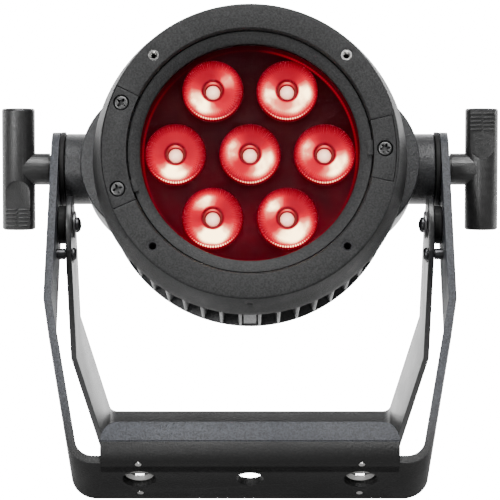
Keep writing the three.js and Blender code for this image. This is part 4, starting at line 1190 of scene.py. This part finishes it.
def handle(side):
    word = SIDES[side]
    half = GRIP_LENGTH / 2
    shoulder = arc((GRIP_RADIUS - 1.3, half - 1.5), 1.3, 0, 75, 6)
    profile = [(0, half), (4, half - 0.05), *[(r, d) for r, d in reversed(shoulder)]]
    body = lathe(profile + [(r, -d) for r, d in reversed(profile)], 96)
    body.data.transform(Matrix.Rotation(radians(90), 4, "X"))
    body.data.transform(Matrix.Translation((side * GRIP_CENTRE, 0, 0)))
    start = OUTER_HALF + 0.5
    stem = side_rod(side, STEM_RADIUS, start, GRIP_CENTRE)
    neck = turned(side, [
        (STEM_RADIUS - 1.2, start - 1), (12, start - 1), (12, start + 1.4), (STEM_RADIUS - 1.2, start + 1.4),
    ], 96)
    bore = side_rod(side, STUD_RADIUS + 0.3, start - 1, GRIP_CENTRE - 2)
    recess = grip_recess(side)
    ridges = grip_ridges(side)
    for tool in (recess, *ridges):
        tool.data.transform(Matrix.Translation((side * GRIP_CENTRE, 0, 0)))
    soften(join(body, stem), 1.7, 5, 40)
    cut(body, neck, bore, recess)
    soften(body, 0.3, 3)
    ribs = soften(join(ridges[0], *ridges[1:]), 0.25)
    place(ribs, f"thumb_ridges_{word}", f"handle_{word}", HANDLE, NYLON)
    place(body, f"t_grip_{word}", f"handle_{word}", HANDLE, NYLON, [f"tilt_handle_{word}"])
    stud = turned(side, [
        (0, GRIP_CENTRE - 3), (STUD_RADIUS - 0.5, GRIP_CENTRE - 3), (STUD_RADIUS, GRIP_CENTRE - 3.5),
        (STUD_RADIUS, BOSS_FACE - 21.5), (STUD_RADIUS - 0.5, BOSS_FACE - 22), (0, BOSS_FACE - 22),
    ])
    place(stud, f"threaded_stud_{word}", f"handle_{word}", HANDLE, BRIGHT, [f"clamp_stud_{word}"])


# ---- what stays as packed


def keep(node, finish):
    """A CAD node whose shape is right gets its finish."""
    piece = NODES[node]
    piece.data.materials.clear()
    piece.data.materials.append(finish.material)


# ---- studio


def studio():
    """A pale floor, a bright surround, and soft lamps in front, above and at both sides."""
    floor = lathe([(0, 0), (6000, 0), (6000, 20), (0, 20)], 64)
    floor.name = "studio_floor"
    floor.data.transform(Matrix.Scale(MM, 4) @ Matrix.Rotation(radians(-90), 4, "X"))
    floor.location.z = -0.0205
    n = Nodes("studio_floor")
    n.set("Base Color", n.ramp(n.noise(0.002), [(0.3, 0.1), (0.7, 0.12)]))
    n.set("Roughness", 0.7)
    n.set("Emission Color", (1, 1, 1))
    seen = n.tree.nodes.new("ShaderNodeLightPath").outputs["Is Camera Ray"]
    behind = n.plus(n.times(n.split()[1], 0.002), 0.5)
    glow = n.ramp(behind, [(0.42, FLOOR_FRONT), (0.8, FLOOR_BACK)])
    n.set("Emission Strength", n.plus(n.times(seen, FLOOR_SEEN), glow))
    floor.data.materials.append(n.material)
    surround()
    for name, lamp in LAMPS.items():
        area_light(name, *lamp)


def surround():
    """A white tent: bright behind and above the object, dim on the camera's side."""
    world = bpy.data.worlds.new("studio")
    world.use_nodes = True
    tree = world.node_tree
    direction = tree.nodes.new("ShaderNodeTexCoord").outputs["Generated"]
    split = tree.nodes.new("ShaderNodeSeparateXYZ")
    tree.links.new(direction, split.inputs[0])
    tent = tree.nodes.new("ShaderNodeMath")
    tent.operation = "MULTIPLY"
    for i, (axis, *span) in enumerate(((1, 0.45, 0.9, TENT_FRONT, TENT_BACK), (2, 0.3, 0.8, 1, TENT_TOP))):
        fade = tree.nodes.new("ShaderNodeMapRange")
        tree.links.new(split.outputs[axis], fade.inputs["Value"])
        for socket, value in zip(("From Min", "From Max", "To Min", "To Max"), span):
            fade.inputs[socket].default_value = value
        tree.links.new(fade.outputs[0], tent.inputs[i])
    seen = tree.nodes.new("ShaderNodeLightPath").outputs["Is Camera Ray"]
    level = tree.nodes.new("ShaderNodeMix")
    tree.links.new(seen, level.inputs[0])
    tree.links.new(tent.outputs[0], level.inputs[2])
    level.inputs[3].default_value = TENT_SEEN
    tree.links.new(level.outputs[0], tree.nodes["Background"].inputs["Strength"])
    tree.nodes["Background"].inputs["Color"].default_value = (1, 1, 1, 1)
    bpy.context.scene.world = world


def area_light(name, place_at, target, size, power):
    light = bpy.data.lights.new(name, "AREA")
    light.shape = "DISK"
    light.size = size
    light.energy = power
    lamp = bpy.data.objects.new(name, light)
    lamp.location = place_at
    aim = Vector(target) - Vector(place_at)
    lamp.rotation_euler = aim.to_track_quat("-Z", "Y").to_euler()
    bpy.context.scene.collection.objects.link(lamp)


def camera():
    """The photograph's view: from the height of the base flange, looking down by four degrees."""
    data = bpy.data.cameras.new("camera")
    data.lens = CAMERA_LENS
    eye = bpy.data.objects.new("camera", data)
    eye.location = CAMERA_PLACE
    eye.rotation_euler = (radians(90 - CAMERA_PITCH), 0, 0)
    bpy.context.scene.collection.objects.link(eye)
    bpy.context.scene.camera = eye


def main():
    camera()
    studio()
    head()
    outer_bracket()
    inner_bracket()
    for side in SIDES:
        receptacle(side)
        pivot_hardware(side)
        handle(side)
    for node in ("led_board", "driver_board", "control_board"):
        keep(node, BOARD)
    for node in ("housing_gasket", "rear_gasket"):
        keep(node, RUBBER)


main()
